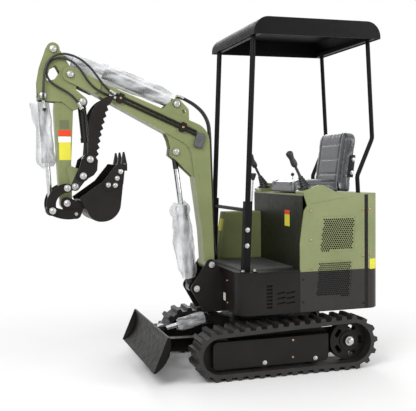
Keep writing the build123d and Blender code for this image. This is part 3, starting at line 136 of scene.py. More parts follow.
def blend_colours(tree, share, first, last):
    """A colour between two colours or colour sockets."""
    node = tree.nodes.new("ShaderNodeMix")
    node.data_type = "RGBA"
    tree.links.new(share, node.inputs[0])
    for colour, socket in ((first, node.inputs[6]), (last, node.inputs[7])):
        if isinstance(colour, tuple):
            socket.default_value = colour
        else:
            tree.links.new(colour, socket)
    return node.outputs[2]


def bump(tree, shader, height, strength, distance):
    """Raises a shader's surface by a height."""
    node = tree.nodes.new("ShaderNodeBump")
    node.inputs["Strength"].default_value = strength
    node.inputs["Distance"].default_value = distance
    tree.links.new(height, node.inputs["Height"])
    tree.links.new(node.outputs["Normal"], shader.inputs["Normal"])


def height_share(tree, place, low, high):
    """0 below one height and 1 above another."""
    split = tree.nodes.new("ShaderNodeSeparateXYZ")
    tree.links.new(place, split.inputs["Vector"])
    return ramp(tree, split.outputs["Z"], low, high, 0.0, 1.0)


def painted(name, deep, bright, gloss=(0.3, 0.42), peel=900, metal=0.0, patch=5.0, shine=0.5, strength=0.06):
    """A sprayed or bare metal skin: two near tones, uneven gloss and a fine grain."""
    finish, tree, shader, place = new_finish(name)
    wide = noise(tree, place, patch)
    tone = blend_colours(tree, ramp(tree, wide, 0.3, 0.7, 0.0, 1.0), deep, bright)
    tree.links.new(tone, shader.inputs["Base Color"])
    tree.links.new(ramp(tree, noise(tree, place, 30), 0.3, 0.7, *gloss), shader.inputs["Roughness"])
    shader.inputs["Metallic"].default_value = metal
    shader.inputs["Specular IOR Level"].default_value = shine
    bump(tree, shader, noise(tree, place, peel, 2.0), strength, 0.001)
    return finish


def split_paint(name, below, above, share):
    """Two paints on one piece, the second where the share is 1."""
    finish, tree, shader, place = new_finish(name)
    wide = ramp(tree, noise(tree, place, 5), 0.3, 0.7, 0.0, 1.0)
    upper = blend_colours(tree, wide, above[0], above[1])
    lower = blend_colours(tree, wide, below[0], below[1])
    tree.links.new(blend_colours(tree, share(tree, place), lower, upper), shader.inputs["Base Color"])
    tree.links.new(ramp(tree, noise(tree, place, 30), 0.3, 0.7, 0.28, 0.4), shader.inputs["Roughness"])
    bump(tree, shader, noise(tree, place, 900, 2.0), 0.06, 0.001)
    return finish


def moulded(name, deep, bright, gloss, grain, strength, sheen=0.0, film=0.0):
    """Rubber, vinyl or plastic with a grained skin."""
    finish, tree, shader, place = new_finish(name)
    tone = blend_colours(tree, ramp(tree, noise(tree, place, 14), 0.3, 0.7, 0.0, 1.0), deep, bright)
    tree.links.new(tone, shader.inputs["Base Color"])
    tree.links.new(ramp(tree, noise(tree, place, 60), 0.3, 0.7, *gloss), shader.inputs["Roughness"])
    cells = tree.nodes.new("ShaderNodeTexVoronoi")
    cells.inputs["Scale"].default_value = grain
    tree.links.new(place, cells.inputs["Vector"])
    shader.inputs["Sheen Weight"].default_value = sheen
    shader.inputs["Coat Weight"].default_value = film
    shader.inputs["Coat Roughness"].default_value = 0.12
    bump(tree, shader, cells.outputs["Distance"], strength, 0.001)
    return finish


def band_share(low, high):
    """1 between two heights and 0 elsewhere."""
    def share(tree, place):
        above = height_share(tree, place, low - EDGE, low + EDGE)
        below = height_share(tree, place, high + EDGE, high - EDGE)
        band = tree.nodes.new("ShaderNodeMath")
        band.operation = "MULTIPLY"
        tree.links.new(above, band.inputs[0])
        tree.links.new(below, band.inputs[1])
        return band.outputs[0]
    return share


def away_share(centre, reach):
    """0 within a distance of a point and 1 beyond it."""
    def share(tree, place):
        gap = tree.nodes.new("ShaderNodeVectorMath")
        gap.operation = "DISTANCE"
        gap.inputs[1].default_value = centre
        tree.links.new(place, gap.inputs[0])
        return ramp(tree, gap.outputs["Value"], reach - EDGE, reach + EDGE, 0.0, 1.0)
    return share


def beyond_share(point, arrow):
    """1 on the side of a point that an arrow shows and 0 on the other."""
    def share(tree, place):
        offset = tree.nodes.new("ShaderNodeVectorMath")
        offset.operation = "SUBTRACT"
        offset.inputs[1].default_value = point
        tree.links.new(place, offset.inputs[0])
        along = tree.nodes.new("ShaderNodeVectorMath")
        along.operation = "DOT_PRODUCT"
        along.inputs[1].default_value = arrow.normalized()
        tree.links.new(offset.outputs["Vector"], along.inputs[0])
        return ramp(tree, along.outputs["Value"], -EDGE, EDGE, 0.0, 1.0)
    return share


def plated(name, share, gloss=0.2):
    """Bright plating where the share is 1, black paint or plastic elsewhere."""
    finish, tree, shader, place = new_finish(name)
    bright = share(tree, place)
    grain = ramp(tree, noise(tree, place, 60), 0.3, 0.7, 0.0, 1.0)
    metal = blend_colours(tree, grain, shade(190, 192, 194), shade(218, 220, 222))
    black = blend_colours(tree, grain, shade(18, 18, 18), shade(30, 29, 29))
    tree.links.new(blend_colours(tree, bright, black, metal), shader.inputs["Base Color"])
    tree.links.new(bright, shader.inputs["Metallic"])
    tree.links.new(ramp(tree, bright, 0.0, 1.0, 0.42, gloss), shader.inputs["Roughness"])
    bump(tree, shader, noise(tree, place, 900, 2.0), 0.03, 0.001)
    return finish


OLIVE = (shade(118, 125, 84), shade(128, 135, 93))
INK = (shade(20, 17, 16), shade(30, 26, 24))
DECK_LINE = 0.631
ABOVE_ALL = 3.0
GUSSET_EDGE = at(1253, 0, 1205)
GUSSET_SIDE = Vector((85, 0, 40))
EYE_REACH = 0.056

olive_paint = painted("olive_paint", *OLIVE, gloss=(0.26, 0.36), shine=0.25)
tank_paint = painted("tank_paint", *OLIVE, gloss=(0.6, 0.72), shine=0.06)
panel_paint = split_paint("panel_paint", INK, OLIVE, band_share(DECK_LINE, ABOVE_ALL))
bracket_paint = split_paint("bracket_paint", INK, OLIVE, beyond_share(GUSSET_EDGE, GUSSET_SIDE))
black_paint = painted("black_paint", *INK, gloss=(0.32, 0.48), shine=0.2)
canopy_paint = painted("canopy_paint", shade(9, 9, 9), shade(15, 14, 14), gloss=(0.42, 0.54), shine=0.12)
blade_paint = painted("blade_paint", shade(12, 11, 9), shade(20, 18, 15), gloss=(0.3, 0.5), shine=0.12)
barrel_paint = painted("barrel_paint", shade(18, 17, 16), shade(28, 26, 25), gloss=(0.2, 0.34), shine=0.3)
chrome = painted(
    "chrome", shade(196, 198, 200), shade(224, 226, 228), gloss=(0.07, 0.13), metal=1.0, strength=0.02
)
zinc = painted("zinc", shade(168, 168, 166), shade(204, 204, 202), gloss=(0.24, 0.4), metal=1.0, patch=60)
brass = painted("brass", shade(168, 138, 100), shade(196, 166, 126), gloss=(0.26, 0.42), metal=1.0, patch=60)
bare_edge = painted(
    "bare_edge", shade(140, 138, 134), shade(196, 194, 190), gloss=(0.25, 0.5), metal=1.0, patch=40
)
# The seat box is olive paint, darkened here to the tone it has in the shadow of the house and seat: painted
# shade.
olive_in_painted_shade = painted("olive_in_painted_shade", shade(24, 27, 17), shade(32, 35, 23), gloss=(0.36, 0.48), shine=0.15)
travel_rods = plated("travel_rods", band_share(0.6, 1.203))
blade_lever_rod = plated("blade_lever_rod", band_share(1.133, 1.2245))
boom_rod = plated("boom_rod", away_share(on_axis(BOOM_ROD_PIN), 0.112), 0.1)
stick_rod = plated("stick_rod", away_share(on_axis(STICK_ROD_PIN), EYE_REACH), 0.1)
bucket_rod = plated("bucket_rod", away_share(on_axis(BUCKET_ROD_PIN), EYE_REACH), 0.1)
track_rubber = moulded("track_rubber", shade(18, 16, 15), shade(32, 29, 27), (0.42, 0.66), 700, 0.25)
hose_rubber = moulded("hose_rubber", shade(18, 18, 19), shade(30, 30, 31), (0.34, 0.5), 1400, 0.1)
# The floor mat's grey is lighter than the other rubbers to stand in for the light its ribs reflect: painted
# reflection.
mat_rubber = moulded("mat_rubber", shade(44, 44, 45), shade(68, 67, 66), (0.5, 0.7), 220, 0.4)
lever_plastic = moulded("lever_plastic", shade(20, 20, 20), shade(32, 31, 31), (0.4, 0.55), 1600, 0.15)
# The dark vinyl is made lighter and bluish to stand in for the light its wrapping film reflects: painted
# reflection.
seat_vinyl = moulded(
    "seat_vinyl", shade(38, 39, 44), shade(58, 60, 67), (0.26, 0.4), 520, 0.22, sheen=0.1, film=0.5
)

nodes_by_finish = {
    olive_paint: ["hood_top", "boom", "stick", "consoles"],
    panel_paint: ["side_panel_left", "side_panel_right", "side_grilles", "rear_panel"],
    olive_in_painted_shade: ["seat_box"],
    travel_rods: ["travel_levers"],
    blade_lever_rod: ["blade_lever"],
    bracket_paint: ["thumb_bracket"],
    tank_paint: ["tank_housing"],
    boom_rod: ["boom_cylinder_rod"],
    stick_rod: ["stick_cylinder_rod"],
    bucket_rod: ["bucket_cylinder_rod"],
    black_paint: [
        "track_frame_left", "track_frame_right", "idlers", "sprockets", "track_rollers", "travel_motors",
        "slew_ring", "boom_bracket", "house_deck", "front_skirt", "side_skirt_left", "side_skirt_right",
        "floor_plate", "cover_straps", "engine_block", "bucket", "side_links", "bucket_link",
        "thumb", "boom_pipes", "car_body", "house_pins", "boom_pins", "stick_pins",
    ],
    blade_paint: ["dozer_blade"],
    canopy_paint: ["canopy_roof", "canopy_front_frame", "canopy_rear_frame"],
    barrel_paint: [
        "blade_cylinder_barrel", "boom_cylinder_barrel", "stick_cylinder_barrel", "bucket_cylinder_barrel",
        "thumb_cylinder_barrel", "thumb_cylinder_rod",
    ],
    chrome: ["blade_cylinder_rod"],
    track_rubber: ["track_left", "track_right"],
    hose_rubber: ["boom_hoses", "stick_hoses"],
    mat_rubber: ["floor_mat"],
    lever_plastic: ["joysticks"],
    seat_vinyl: ["seat_cushion", "seat_back"],
}
for finish, names in nodes_by_finish.items():
    for name in names:
        nodes[name].data.materials.clear()
        nodes[name].data.materials.append(finish)


def film_finish(name, stretch):
    """Clear wrapping film: whitish where it creases, clearer where it lies flat."""
    finish, tree, shader, place = new_finish(name)
    creases = noise(tree, place, 20, 3.0, stretch)
    cloud = ramp(tree, creases, 0.36, 0.66, 0.28, 0.84)
    tree.links.new(cloud, shader.inputs["Alpha"])
    tree.links.new(
        blend_colours(tree, cloud, shade(172, 174, 177), shade(236, 237, 239)), shader.inputs["Base Color"]
    )
    tree.links.new(ramp(tree, creases, 0.3, 0.7, 0.12, 0.3), shader.inputs["Roughness"])
    bump(tree, shader, noise(tree, place, 42, 4.0, stretch), 0.5, 0.006)
    return finish


upright_film = film_finish("upright_film", (1.0, 1.0, 0.22))
level_film = film_finish("level_film", (0.25, 1.0, 1.0))


# Bench work

def cloud(name, size, kind="SOFT_NOISE"):
    """A cloud texture to dent a mesh with."""
    texture = bpy.data.textures.new(name, "CLOUDS")
    texture.noise_scale = size
    texture.noise_depth = 3
    texture.noise_type = kind
    return texture


def fresh(add, name, **how):
    """A new shape to work on, alone selected."""
    bpy.ops.object.select_all(action="DESELECT")
    add(**how)
    piece = bpy.context.object
    piece.name = name
    piece.data.name = name
    return piece


def choose(piece, kind, test):
    """Opens a piece for editing with the faces, edges or points that pass a test selected."""
    bpy.context.view_layer.objects.active = piece
    if piece.mode == "EDIT":
        bpy.ops.object.mode_set(mode="OBJECT")
    mesh = piece.data
    for item in [*mesh.vertices, *mesh.edges, *mesh.polygons]:
        item.select = False
    if kind == "FACE":
        for face in mesh.polygons:
            face.select = bool(test(face.center, face.normal))
    elif kind == "EDGE":
        for edge in mesh.edges:
            ends = [mesh.vertices[index].co for index in edge.vertices]
            edge.select = bool(test(ends[0], ends[1]))
    else:
        for point in mesh.vertices:
            point.select = bool(test(point.co))
    bpy.context.tool_settings.mesh_select_mode = (kind == "VERT", kind == "EDGE", kind == "FACE")
    bpy.ops.object.mode_set(mode="EDIT")


def close(piece):
    """Ends the editing of a piece."""
    if piece.mode == "EDIT":
        bpy.ops.object.mode_set(mode="OBJECT")


def settle(piece):
    """Moves a piece's place, turn and size into its mesh."""
    close(piece)
    bpy.ops.object.select_all(action="DESELECT")
    piece.select_set(True)
    bpy.context.view_layer.objects.active = piece
    bpy.ops.object.transform_apply(location=True, rotation=True, scale=True)


def apply_modifier(piece, kind, **settings):
    """Adds a modifier and works it into the mesh."""
    bpy.context.view_layer.objects.active = piece
    modifier = piece.modifiers.new(kind.lower(), kind)
    for key, value in settings.items():
        setattr(modifier, key, value)
    bpy.ops.object.modifier_apply(modifier=modifier.name)


def smooth(piece, degrees=35):
    """Shades a piece smooth, with sharp edges above an angle."""
    bpy.ops.object.select_all(action="DESELECT")
    piece.select_set(True)
    bpy.context.view_layer.objects.active = piece
    bpy.ops.object.shade_smooth_by_angle(angle=math.radians(degrees))


def dress(piece, finish, body):
    """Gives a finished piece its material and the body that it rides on."""
    piece.data.materials.clear()
    piece.data.materials.append(finish)
    if body:
        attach(piece, body)


def stand(point, direction):
    """The frame of a piece whose top points along a direction."""
    turn = Vector(direction).to_track_quat("Z", "Y").to_matrix().to_4x4()
    return Matrix.Translation(Vector(point)) @ turn


def spread(master, name, places):
    """Copies of a master piece at several places, joined into one piece."""
    copies = []
    for place in places:
        copy = master.copy()
        copy.data = master.data.copy()
        bpy.context.scene.collection.objects.link(copy)
        copy.matrix_world = place
        copies.append(copy)
    bpy.ops.object.select_all(action="DESELECT")
    for copy in copies:
        copy.select_set(True)
    bpy.context.view_layer.objects.active = copies[0]
    if len(copies) > 1:
        bpy.ops.object.join()
    piece = bpy.context.object
    piece.name = name
    piece.data.name = name
    settle(piece)
    return piece


def discard(piece):
    bpy.data.objects.remove(piece)


def join(piece, others):
    """Makes several pieces one, kept under the first one's name."""
    bpy.ops.object.select_all(action="DESELECT")
    for other in [*others, piece]:
        other.select_set(True)
    bpy.context.view_layer.objects.active = piece
    bpy.ops.object.join()


WASHER = 0.0016


def hex_bolt(name, across, head):
    """A hexagon head with a chamfered top on a washer."""
    bolt = fresh(
        bpy.ops.mesh.primitive_cylinder_add, name, vertices=6, radius=across / math.sqrt(3), depth=head,
        location=(0, 0, WASHER + head / 2),
    )
    settle(bolt)
    choose(bolt, "FACE", lambda centre, normal: normal.z > 0.9)
    bpy.ops.mesh.inset(thickness=across * 0.1, depth=across * 0.06)
    close(bolt)
    washer = fresh(
        bpy.ops.mesh.primitive_cylinder_add, "washer", vertices=20, radius=across * 0.86, depth=WASHER,
        location=(0, 0, WASHER / 2),
    )
    settle(washer)
    choose(washer, "FACE", lambda centre, normal: normal.z > 0.9)
    bpy.ops.mesh.inset(thickness=across * 0.06, depth=0.0004)
    close(washer)
    join(bolt, [washer])
    smooth(bolt, 30)
    return bolt


# Camera, floor and light

CAMERA_TURN = (17.193, 2.706, -0.643)
CAMERA_PLACE = (1.4219, 4.6873, 1.2736)
FOCAL_PIXELS = 746.153
PICTURE_WIDTH = 416
SENSOR = 36


def set_camera():
    """The photograph's camera. Its turn is yaw, pitch and roll in degrees."""
    yaw, pitch, roll = (math.radians(angle) for angle in CAMERA_TURN)
    forward = Vector((-math.sin(yaw) * math.cos(pitch), -math.cos(yaw) * math.cos(pitch), -math.sin(pitch)))
    right = forward.cross(UP).normalized()
    top = right.cross(forward)
    across = right * math.cos(roll) + top * math.sin(roll)
    upward = top * math.cos(roll) - right * math.sin(roll)
    camera = bpy.data.objects.new("camera", bpy.data.cameras.new("camera"))
    bpy.context.scene.collection.objects.link(camera)
    camera.data.sensor_width = SENSOR
    camera.data.lens = FOCAL_PIXELS / PICTURE_WIDTH * SENSOR
    camera.data.clip_end = 200
    turn = Matrix((across, upward, -forward)).transposed()
    camera.matrix_world = Matrix.Translation(CAMERA_PLACE) @ turn.to_4x4()
    bpy.context.scene.camera = camera


def seen_directly(tree):
    """1 for rays that show the background, straight, mirrored or through film."""
    path = tree.nodes.new("ShaderNodeLightPath")
    total = path.outputs["Is Camera Ray"]
    for name in ("Is Glossy Ray", "Is Transmission Ray"):
        larger = tree.nodes.new("ShaderNodeMath")
        larger.operation = "MAXIMUM"
        tree.links.new(total, larger.inputs[0])
        tree.links.new(path.outputs[name], larger.inputs[1])
        total = larger.outputs[0]
    return total


def set_floor():
    """A pale floor that fades into the background away from the machine."""
    floor = fresh(bpy.ops.mesh.primitive_plane_add, "floor", size=60, location=(0, 0, -0.0005))
    settle(floor)
    choose(floor, "FACE", lambda centre, normal: True)
    bpy.ops.mesh.subdivide(number_cuts=3)
    close(floor)
    finish, tree, shader, place = new_finish("pale_floor")
    tone = blend_colours(tree, noise(tree, place, 3), (0.86, 0.86, 0.86, 1), (0.89, 0.89, 0.89, 1))
    tree.links.new(tone, shader.inputs["Base Color"])
    shader.inputs["Roughness"].default_value = 0.8
    away = tree.nodes.new("ShaderNodeVectorMath")
    away.operation = "LENGTH"
    tree.links.new(place, away.inputs[0])
    far = ramp(tree, away.outputs["Value"], 1.2, 2.6, 0.0, 1.0)
    share = tree.nodes.new("ShaderNodeMath")
    share.operation = "MULTIPLY"
    tree.links.new(far, share.inputs[0])
    tree.links.new(seen_directly(tree), share.inputs[1])
    glow = tree.nodes.new("ShaderNodeEmission")
    mixed = tree.nodes.new("ShaderNodeMixShader")
    tree.links.new(share.outputs[0], mixed.inputs[0])
    tree.links.new(shader.outputs[0], mixed.inputs[1])
    tree.links.new(glow.outputs[0], mixed.inputs[2])
    tree.links.new(mixed.outputs[0], tree.nodes["Material Output"].inputs["Surface"])
    floor.data.materials.append(finish)


def set_world():
    """Soft light from all sides in front of a white background."""
    world = bpy.data.worlds.new("studio")
    bpy.context.scene.world = world
    world.use_nodes = True
    tree = world.node_tree
    soft = tree.nodes["Background"]
    soft.inputs["Color"].default_value = (1, 1, 1, 1)
    soft.inputs["Strength"].default_value = 0.62
    white = tree.nodes.new("ShaderNodeBackground")
    white.inputs["Color"].default_value = (1, 1, 1, 1)
    mixed = tree.nodes.new("ShaderNodeMixShader")
    tree.links.new(seen_directly(tree), mixed.inputs[0])
    tree.links.new(soft.outputs[0], mixed.inputs[1])
    tree.links.new(white.outputs[0], mixed.inputs[2])
    tree.links.new(mixed.outputs[0], tree.nodes["World Output"].inputs["Surface"])


def lamp(name, place, size, power):
    """A square studio lamp that faces the machine."""
    light = bpy.data.lights.new(name, "AREA")
    light.size = size
    light.energy = power
    holder = bpy.data.objects.new(name, light)
    bpy.context.scene.collection.objects.link(holder)
    holder.matrix_world = stand(place, Vector(place) - Vector((0, 0, 0.9)))


set_camera()
set_floor()
set_world()
lamp("key_lamp", (3.2, 3.6, 4.0), 2.6, 190)
lamp("fill_lamp", (-3.6, 3.0, 2.6), 2.6, 90)
lamp("back_lamp", (-1.5, -4.2, 3.8), 2.6, 90)
bpy.context.scene.view_settings.view_transform = "Standard"


# Hoses from the boom's pipes to the stick's cylinders

LONG_HOSE = (
    (986, 70, 1757.4), (1036, 77, 1786), (1085, 86, 1850), (1135, 88, 1915), (1200, 89, 1966),
    (1285, 90, 1991), (1348, 90, 1976), (1394, 89, 1928), (1412, 89, 1850), (1416, 88, 1770),
    (1416.5, 86, 1710), (1415.5, 80, 1663.6),
)
THUMB_HOSE = (
    (986, 70, 1731.4), (1042, 75, 1752), (1102, 82, 1780), (1150, 86, 1828), (1184, 87, 1886),
    (1226, 84, 1934), (1272, 79, 1957), (1318, 74, 1965), (1359, 72, 1950), (1388, 71, 1917),
    (1397, 71, 1875), (1384, 71, 1833), (1354, 72, 1803), (1305, 76, 1775), (1256, 81, 1746),
    (1216, 82, 1706), (1188, 76, 1660),
)
HOSE_ACROSS = 0.014


def smooth_route(name, points):
    """A smooth curve along points of the machine."""
    curve = bpy.data.curves.new(name, "CURVE")
    curve.dimensions = "3D"
    spline = curve.splines.new("NURBS")
    spline.points.add(len(points) - 1)
    for point, place in zip(spline.points, points):
        point.co = (*at(*place), 1)
    spline.order_u = 3
    spline.use_endpoint_u = True
    curve.resolution_u = 10
    return curve


def tube(name, points, across):
    """A round tube on one smooth line through the points, with that line."""
    curve = smooth_route(name, points)
    holder = bpy.data.objects.new(name + "_line", curve)
    bpy.context.scene.collection.objects.link(holder)
    bpy.context.view_layer.update()
    line = bpy.data.meshes.new_from_object(holder.evaluated_get(bpy.context.evaluated_depsgraph_get()))
    path = [point.co.copy() for point in line.vertices]
    bpy.data.meshes.remove(line)
    curve.bevel_depth = across / 2
    curve.bevel_resolution = 4
    curve.use_fill_caps = True
    bpy.ops.object.select_all(action="DESELECT")
    holder.select_set(True)
    bpy.context.view_layer.objects.active = holder
    bpy.ops.object.convert(target="MESH")
    piece = bpy.context.object
    piece.name = name
    smooth(piece, 60)
    return piece, path


def make_hose(name, points):
    """A rubber hose between its pipe on the boom and its cylinder on the stick."""
    hose, path = tube(name, points, HOSE_ACROSS)
    dress(hose, hose_rubber, None)
    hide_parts("stick_hoses")
    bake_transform(hose)


make_hose("long_hose", LONG_HOSE)
make_hose("thumb_hose", THUMB_HOSE)


# Blade with a smooth hollow face

def own_copy(name, node):
    """A copy of a solid's mesh to work on, with its corners welded."""
    piece = nodes[node].copy()
    piece.data = nodes[node].data.copy()
    piece.parent = None
    for key in list(piece.keys()):
        del piece[key]
    bpy.context.scene.collection.objects.link(piece)
    piece.name = name
    piece.data.name = name
    choose(piece, "VERT", lambda point: True)
    bpy.ops.mesh.remove_doubles(threshold=0.00005)
    close(piece)
    return piece


HOLLOW_AXIS = at(946.5, 0, 252)
HOLLOW_RADIUS = 0.1865
HOLLOW_WIDTH = 0.9458
roller = fresh(
    bpy.ops.mesh.primitive_cylinder_add, "roller", vertices=160, radius=HOLLOW_RADIUS, depth=HOLLOW_WIDTH,
    location=HOLLOW_AXIS, rotation=(math.pi / 2, 0, 0),
)
settle(roller)
blade_shell = own_copy("blade_shell", "dozer_blade")
apply_modifier(blade_shell, "BOOLEAN", operation="DIFFERENCE", solver="EXACT", object=roller)
discard(roller)
smooth(blade_shell, 30)
dress(blade_shell, blade_paint, "blade")
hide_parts("dozer_blade")


# Seat

SIDE_SEAM = 0.14
SEAM_WIDTH = 0.007
SEAM_DEPTH = 0.007
CUSHION_FOLDS = (-250, -345, -435)
BACK_FOLDS = (1.24, 1.34, 1.44)
CUSHION_TOP = 1.17
BACK_FRONT = -530
BACK_FOOT = 1116
BACK_LEAN = math.tan(math.radians(8))
STUFFING_PRESSURE = 4
STUFFING_FRAMES = 20
STUFFING_CAP = 0.008


def held_points(piece, name, weight):
    """A vertex group with a weight for each point that has one."""
    group = piece.vertex_groups.new(name=name)
    for point in piece.data.vertices:
        share = weight(point.co)
        if share > 0:
            group.add([point.index], share, "REPLACE")
    return group.name


def swell(piece, held, cap):
    """Lets stuffing press the cover out for some frames, then caps how far each point went."""
    rest = [point.co.copy() for point in piece.data.vertices]
    cloth = piece.modifiers.new("stuffing", "CLOTH")
    cloth.settings.use_pressure = True
    cloth.settings.uniform_pressure_force = STUFFING_PRESSURE
    cloth.settings.vertex_group_mass = held
    cloth.settings.effector_weights.gravity = 0
    scene = bpy.context.scene
    for step in range(1, STUFFING_FRAMES + 1):
        scene.frame_set(step)
    bpy.context.view_layer.objects.active = piece
    bpy.ops.object.modifier_apply(modifier=cloth.name)
    scene.frame_set(1)
    for point, start in zip(piece.data.vertices, rest):
        way = point.co - start
        if way.length > cap:
            point.co = start + way * (cap / way.length)


def seat_pad(name, node, held_at, seam_at):
    """A vinyl pad over the room of its solid, with sewn channels across it."""
    pad = own_copy(name, node)
    apply_modifier(pad, "REMESH", mode="VOXEL", voxel_size=0.006)
    held = held_points(pad, "held", held_at)
    apply_modifier(pad, "DISPLACE", strength=-0.004, mid_level=0)
    swell(pad, held, STUFFING_CAP)
    channels = held_points(pad, "channels", seam_at)
    apply_modifier(pad, "DISPLACE", strength=-SEAM_DEPTH, mid_level=0, vertex_group=channels)
    apply_modifier(pad, "SMOOTH", factor=0.5, iterations=3)
    apply_modifier(pad, "SUBSURF", levels=1, render_levels=1)
    pad.vertex_groups.clear()
    smooth(pad, 180)
    dress(pad, seat_vinyl, "house")
    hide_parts(node)


def crease(value, lines, width):
    """How near a value is to the nearest of several lines, 1 on a line."""
    return max(math.exp(-((value - line) / width) ** 2) for line in lines)


def seams(point, value, folds, width):
    """Sewn channels across the middle of a pad and along its two sides."""
    across = crease(value, folds, width) if abs(point.y) < SIDE_SEAM else 0
    return max(across, crease(abs(point.y), (SIDE_SEAM,), SEAM_WIDTH))


def cushion_seams(point):
    if point.z < CUSHION_TOP:
        return 0
    return seams(point, point.x * 1000 + SLEW_X, CUSHION_FOLDS, SEAM_WIDTH * 1000)


def back_seams(point):
    if point.x * 1000 + SLEW_X + (point.z * 1000 - BACK_FOOT) * BACK_LEAN < BACK_FRONT:
        return 0
    return seams(point, point.z, BACK_FOLDS, SEAM_WIDTH)


seat_pad("seat_cushion_pad", "seat_cushion", lambda point: 1 if point.z < 1.124 else 0, cushion_seams)
seat_pad("seat_back_pad", "seat_back", lambda point: 1 if point.z < 1.126 else 0, back_seams)


# Bolts, screws and fittings

def button_screw(name, across, head):
    """A round head with a domed rim and a socket in its top."""
    screw = fresh(
        bpy.ops.mesh.primitive_cylinder_add, name, vertices=18, radius=across / 2, depth=head,
        location=(0, 0, head / 2),
    )
    settle(screw)
    choose(screw, "EDGE", lambda first, last: first.z > head * 0.9 and last.z > head * 0.9)
    bpy.ops.mesh.bevel(offset=head * 0.55, segments=3)
    close(screw)
    choose(screw, "FACE", lambda centre, normal: normal.z > 0.99)
    bpy.ops.mesh.inset(thickness=across * 0.08)
    bpy.ops.mesh.inset(thickness=across * 0.02, depth=-head * 0.5)
    close(screw)
    smooth(screw, 40)
    return screw


def hose_fitting(name):
    """A crimped ferrule with a hexagon nut at its foot."""
    nut = fresh(
        bpy.ops.mesh.primitive_cylinder_add, name, vertices=6, radius=0.0135, depth=0.014,
        location=(0, 0, 0.007),
    )
    settle(nut)
    choose(nut, "FACE", lambda centre, normal: abs(normal.z) > 0.9)
    bpy.ops.mesh.inset(thickness=0.0015, depth=0.0006)
    close(nut)
    ferrule = fresh(
        bpy.ops.mesh.primitive_cylinder_add, "ferrule", vertices=18, radius=0.0108, depth=0.03,
        location=(0, 0, 0.03),
    )
    settle(ferrule)
    choose(ferrule, "EDGE", lambda first, last: abs(first.z - last.z) > 0.02)
    bpy.ops.mesh.subdivide(number_cuts=5)
    close(ferrule)
    for ring in (0.02, 0.03, 0.04):
        choose(ferrule, "VERT", lambda point: abs(point.z - ring) < 0.001)
        bpy.ops.transform.resize(value=(0.88, 0.88, 1))
    close(ferrule)
    join(nut, [ferrule])
    smooth(nut, 35)
    return nut


def outermost(names, x, z, side):
    """The outermost point of several nodes at a place of one side."""
    start = at(x, side * 900, z)
    found = []
    for name in names:
        hit, point = nodes[name].ray_cast(start, LEFT * -side)[:2]
        if hit:
            found.append(point.copy())
    return max(found, key=lambda point: side * point.y)


def side_places(names, spots, sides=BOTH_SIDES):
    """Frames that face outward at spots of the machine's sides."""
    return [stand(outermost(names, x, z, side), LEFT * side) for x, z in spots for side in sides]


pin_bolt = hex_bolt("pin_bolt", 0.024, 0.011)
pin_heads = {
    "house": (("house_pins", "boom_bracket"), (BOOM_FOOT, BOOM_BARREL_PIN)),
    "boom": (("boom_pins", "boom"), (STICK_PIVOT, STICK_BARREL_PIN, BOOM_ROD_PIN)),
    "stick": (
        ("stick_pins", "stick", "thumb_bracket"),
        (
            STICK_ROD_PIN, BUCKET_BARREL_PIN, THUMB_BARREL_PIN, BUCKET_PIN, SIDE_LINK_PIN, THUMB_PIVOT,
            THUMB_BOLT,
        ),
    ),
    "side_link": (("side_links",), (BUCKET_ROD_PIN,)),
    "bucket": (("bucket",), (BUCKET_LINK_PIN,)),
    "thumb": (("thumb",), (THUMB_ROD_PIN,)),
}
for body, (names, spots) in pin_heads.items():
    dress(spread(pin_bolt, body + "_pin_bolts", side_places(names, spots)), zinc, body)
discard(pin_bolt)

cutter_bolt = hex_bolt("cutter_bolt", 0.017, 0.009)
cutter_spots = ((1050, 1191), (1008, 1188), (995, 1231), (973, 1271))
dress(spread(cutter_bolt, "cutter_bolts", side_places(("bucket",), cutter_spots)), zinc, "bucket")
sleeve_spots = ((218, 901), (222, 803))
sleeve_places = side_places(("canopy_front_frame",), sleeve_spots)
dress(spread(cutter_bolt, "post_sleeve_bolts", sleeve_places), zinc, "house")
roller_spots = ((142, 83.3), (-200, 83.3))
for side, name in ((1, "left"), (-1, "right")):
    roller_places = side_places(("track_frame_" + name, "track_rollers"), roller_spots, (side,))
    dress(spread(cutter_bolt, "roller_bolts_" + name, roller_places), zinc, "undercarriage")
discard(cutter_bolt)

hub_nut = hex_bolt("hub_nut", 0.034, 0.022)
hub_places = side_places(("sprockets", "travel_motors"), ((-442, 172),))
dress(spread(hub_nut, "hub_nuts", hub_places), zinc, "undercarriage")
discard(hub_nut)

panel_screw = button_screw("panel_screw", 0.015, 0.005)
panel_spots = ((-178, 1011), (-180, 827), (-181, 649), (-546, 1014), (-546, 714), (-594, 1013), (-597, 716))
screw_places = side_places(("side_panel_left", "side_panel_right", "rear_panel"), panel_spots)
screw_places += [stand(at(-662, y, z), (-1, 0, 0)) for y in (362, -362) for z in (1013, 905, 747, 602)]
screw_places += [stand(at(300, y, z), (1, 0, 0)) for y in (199, -199) for z in (569, 427)]
dress(spread(panel_screw, "panel_screws", screw_places), brass, "house")
low_spots = ((-128, 583), (-127, 439), (-550, 410))
low_places = side_places(("side_panel_left", "side_panel_right"), low_spots)
dress(spread(panel_screw, "lower_panel_screws", low_places), barrel_paint, "house")
plate_places = side_places(("track_frame_left", "track_frame_right"), ((-47, 210), (-46, 103)))
dress(spread(panel_screw, "track_plate_screws", plate_places), brass, "undercarriage")
clamp_places = side_places(("boom_pipes",), ((945, 1727), (546, 1550)), (1,))
dress(spread(panel_screw, "clamp_screws", clamp_places), brass, "boom")
discard(panel_screw)

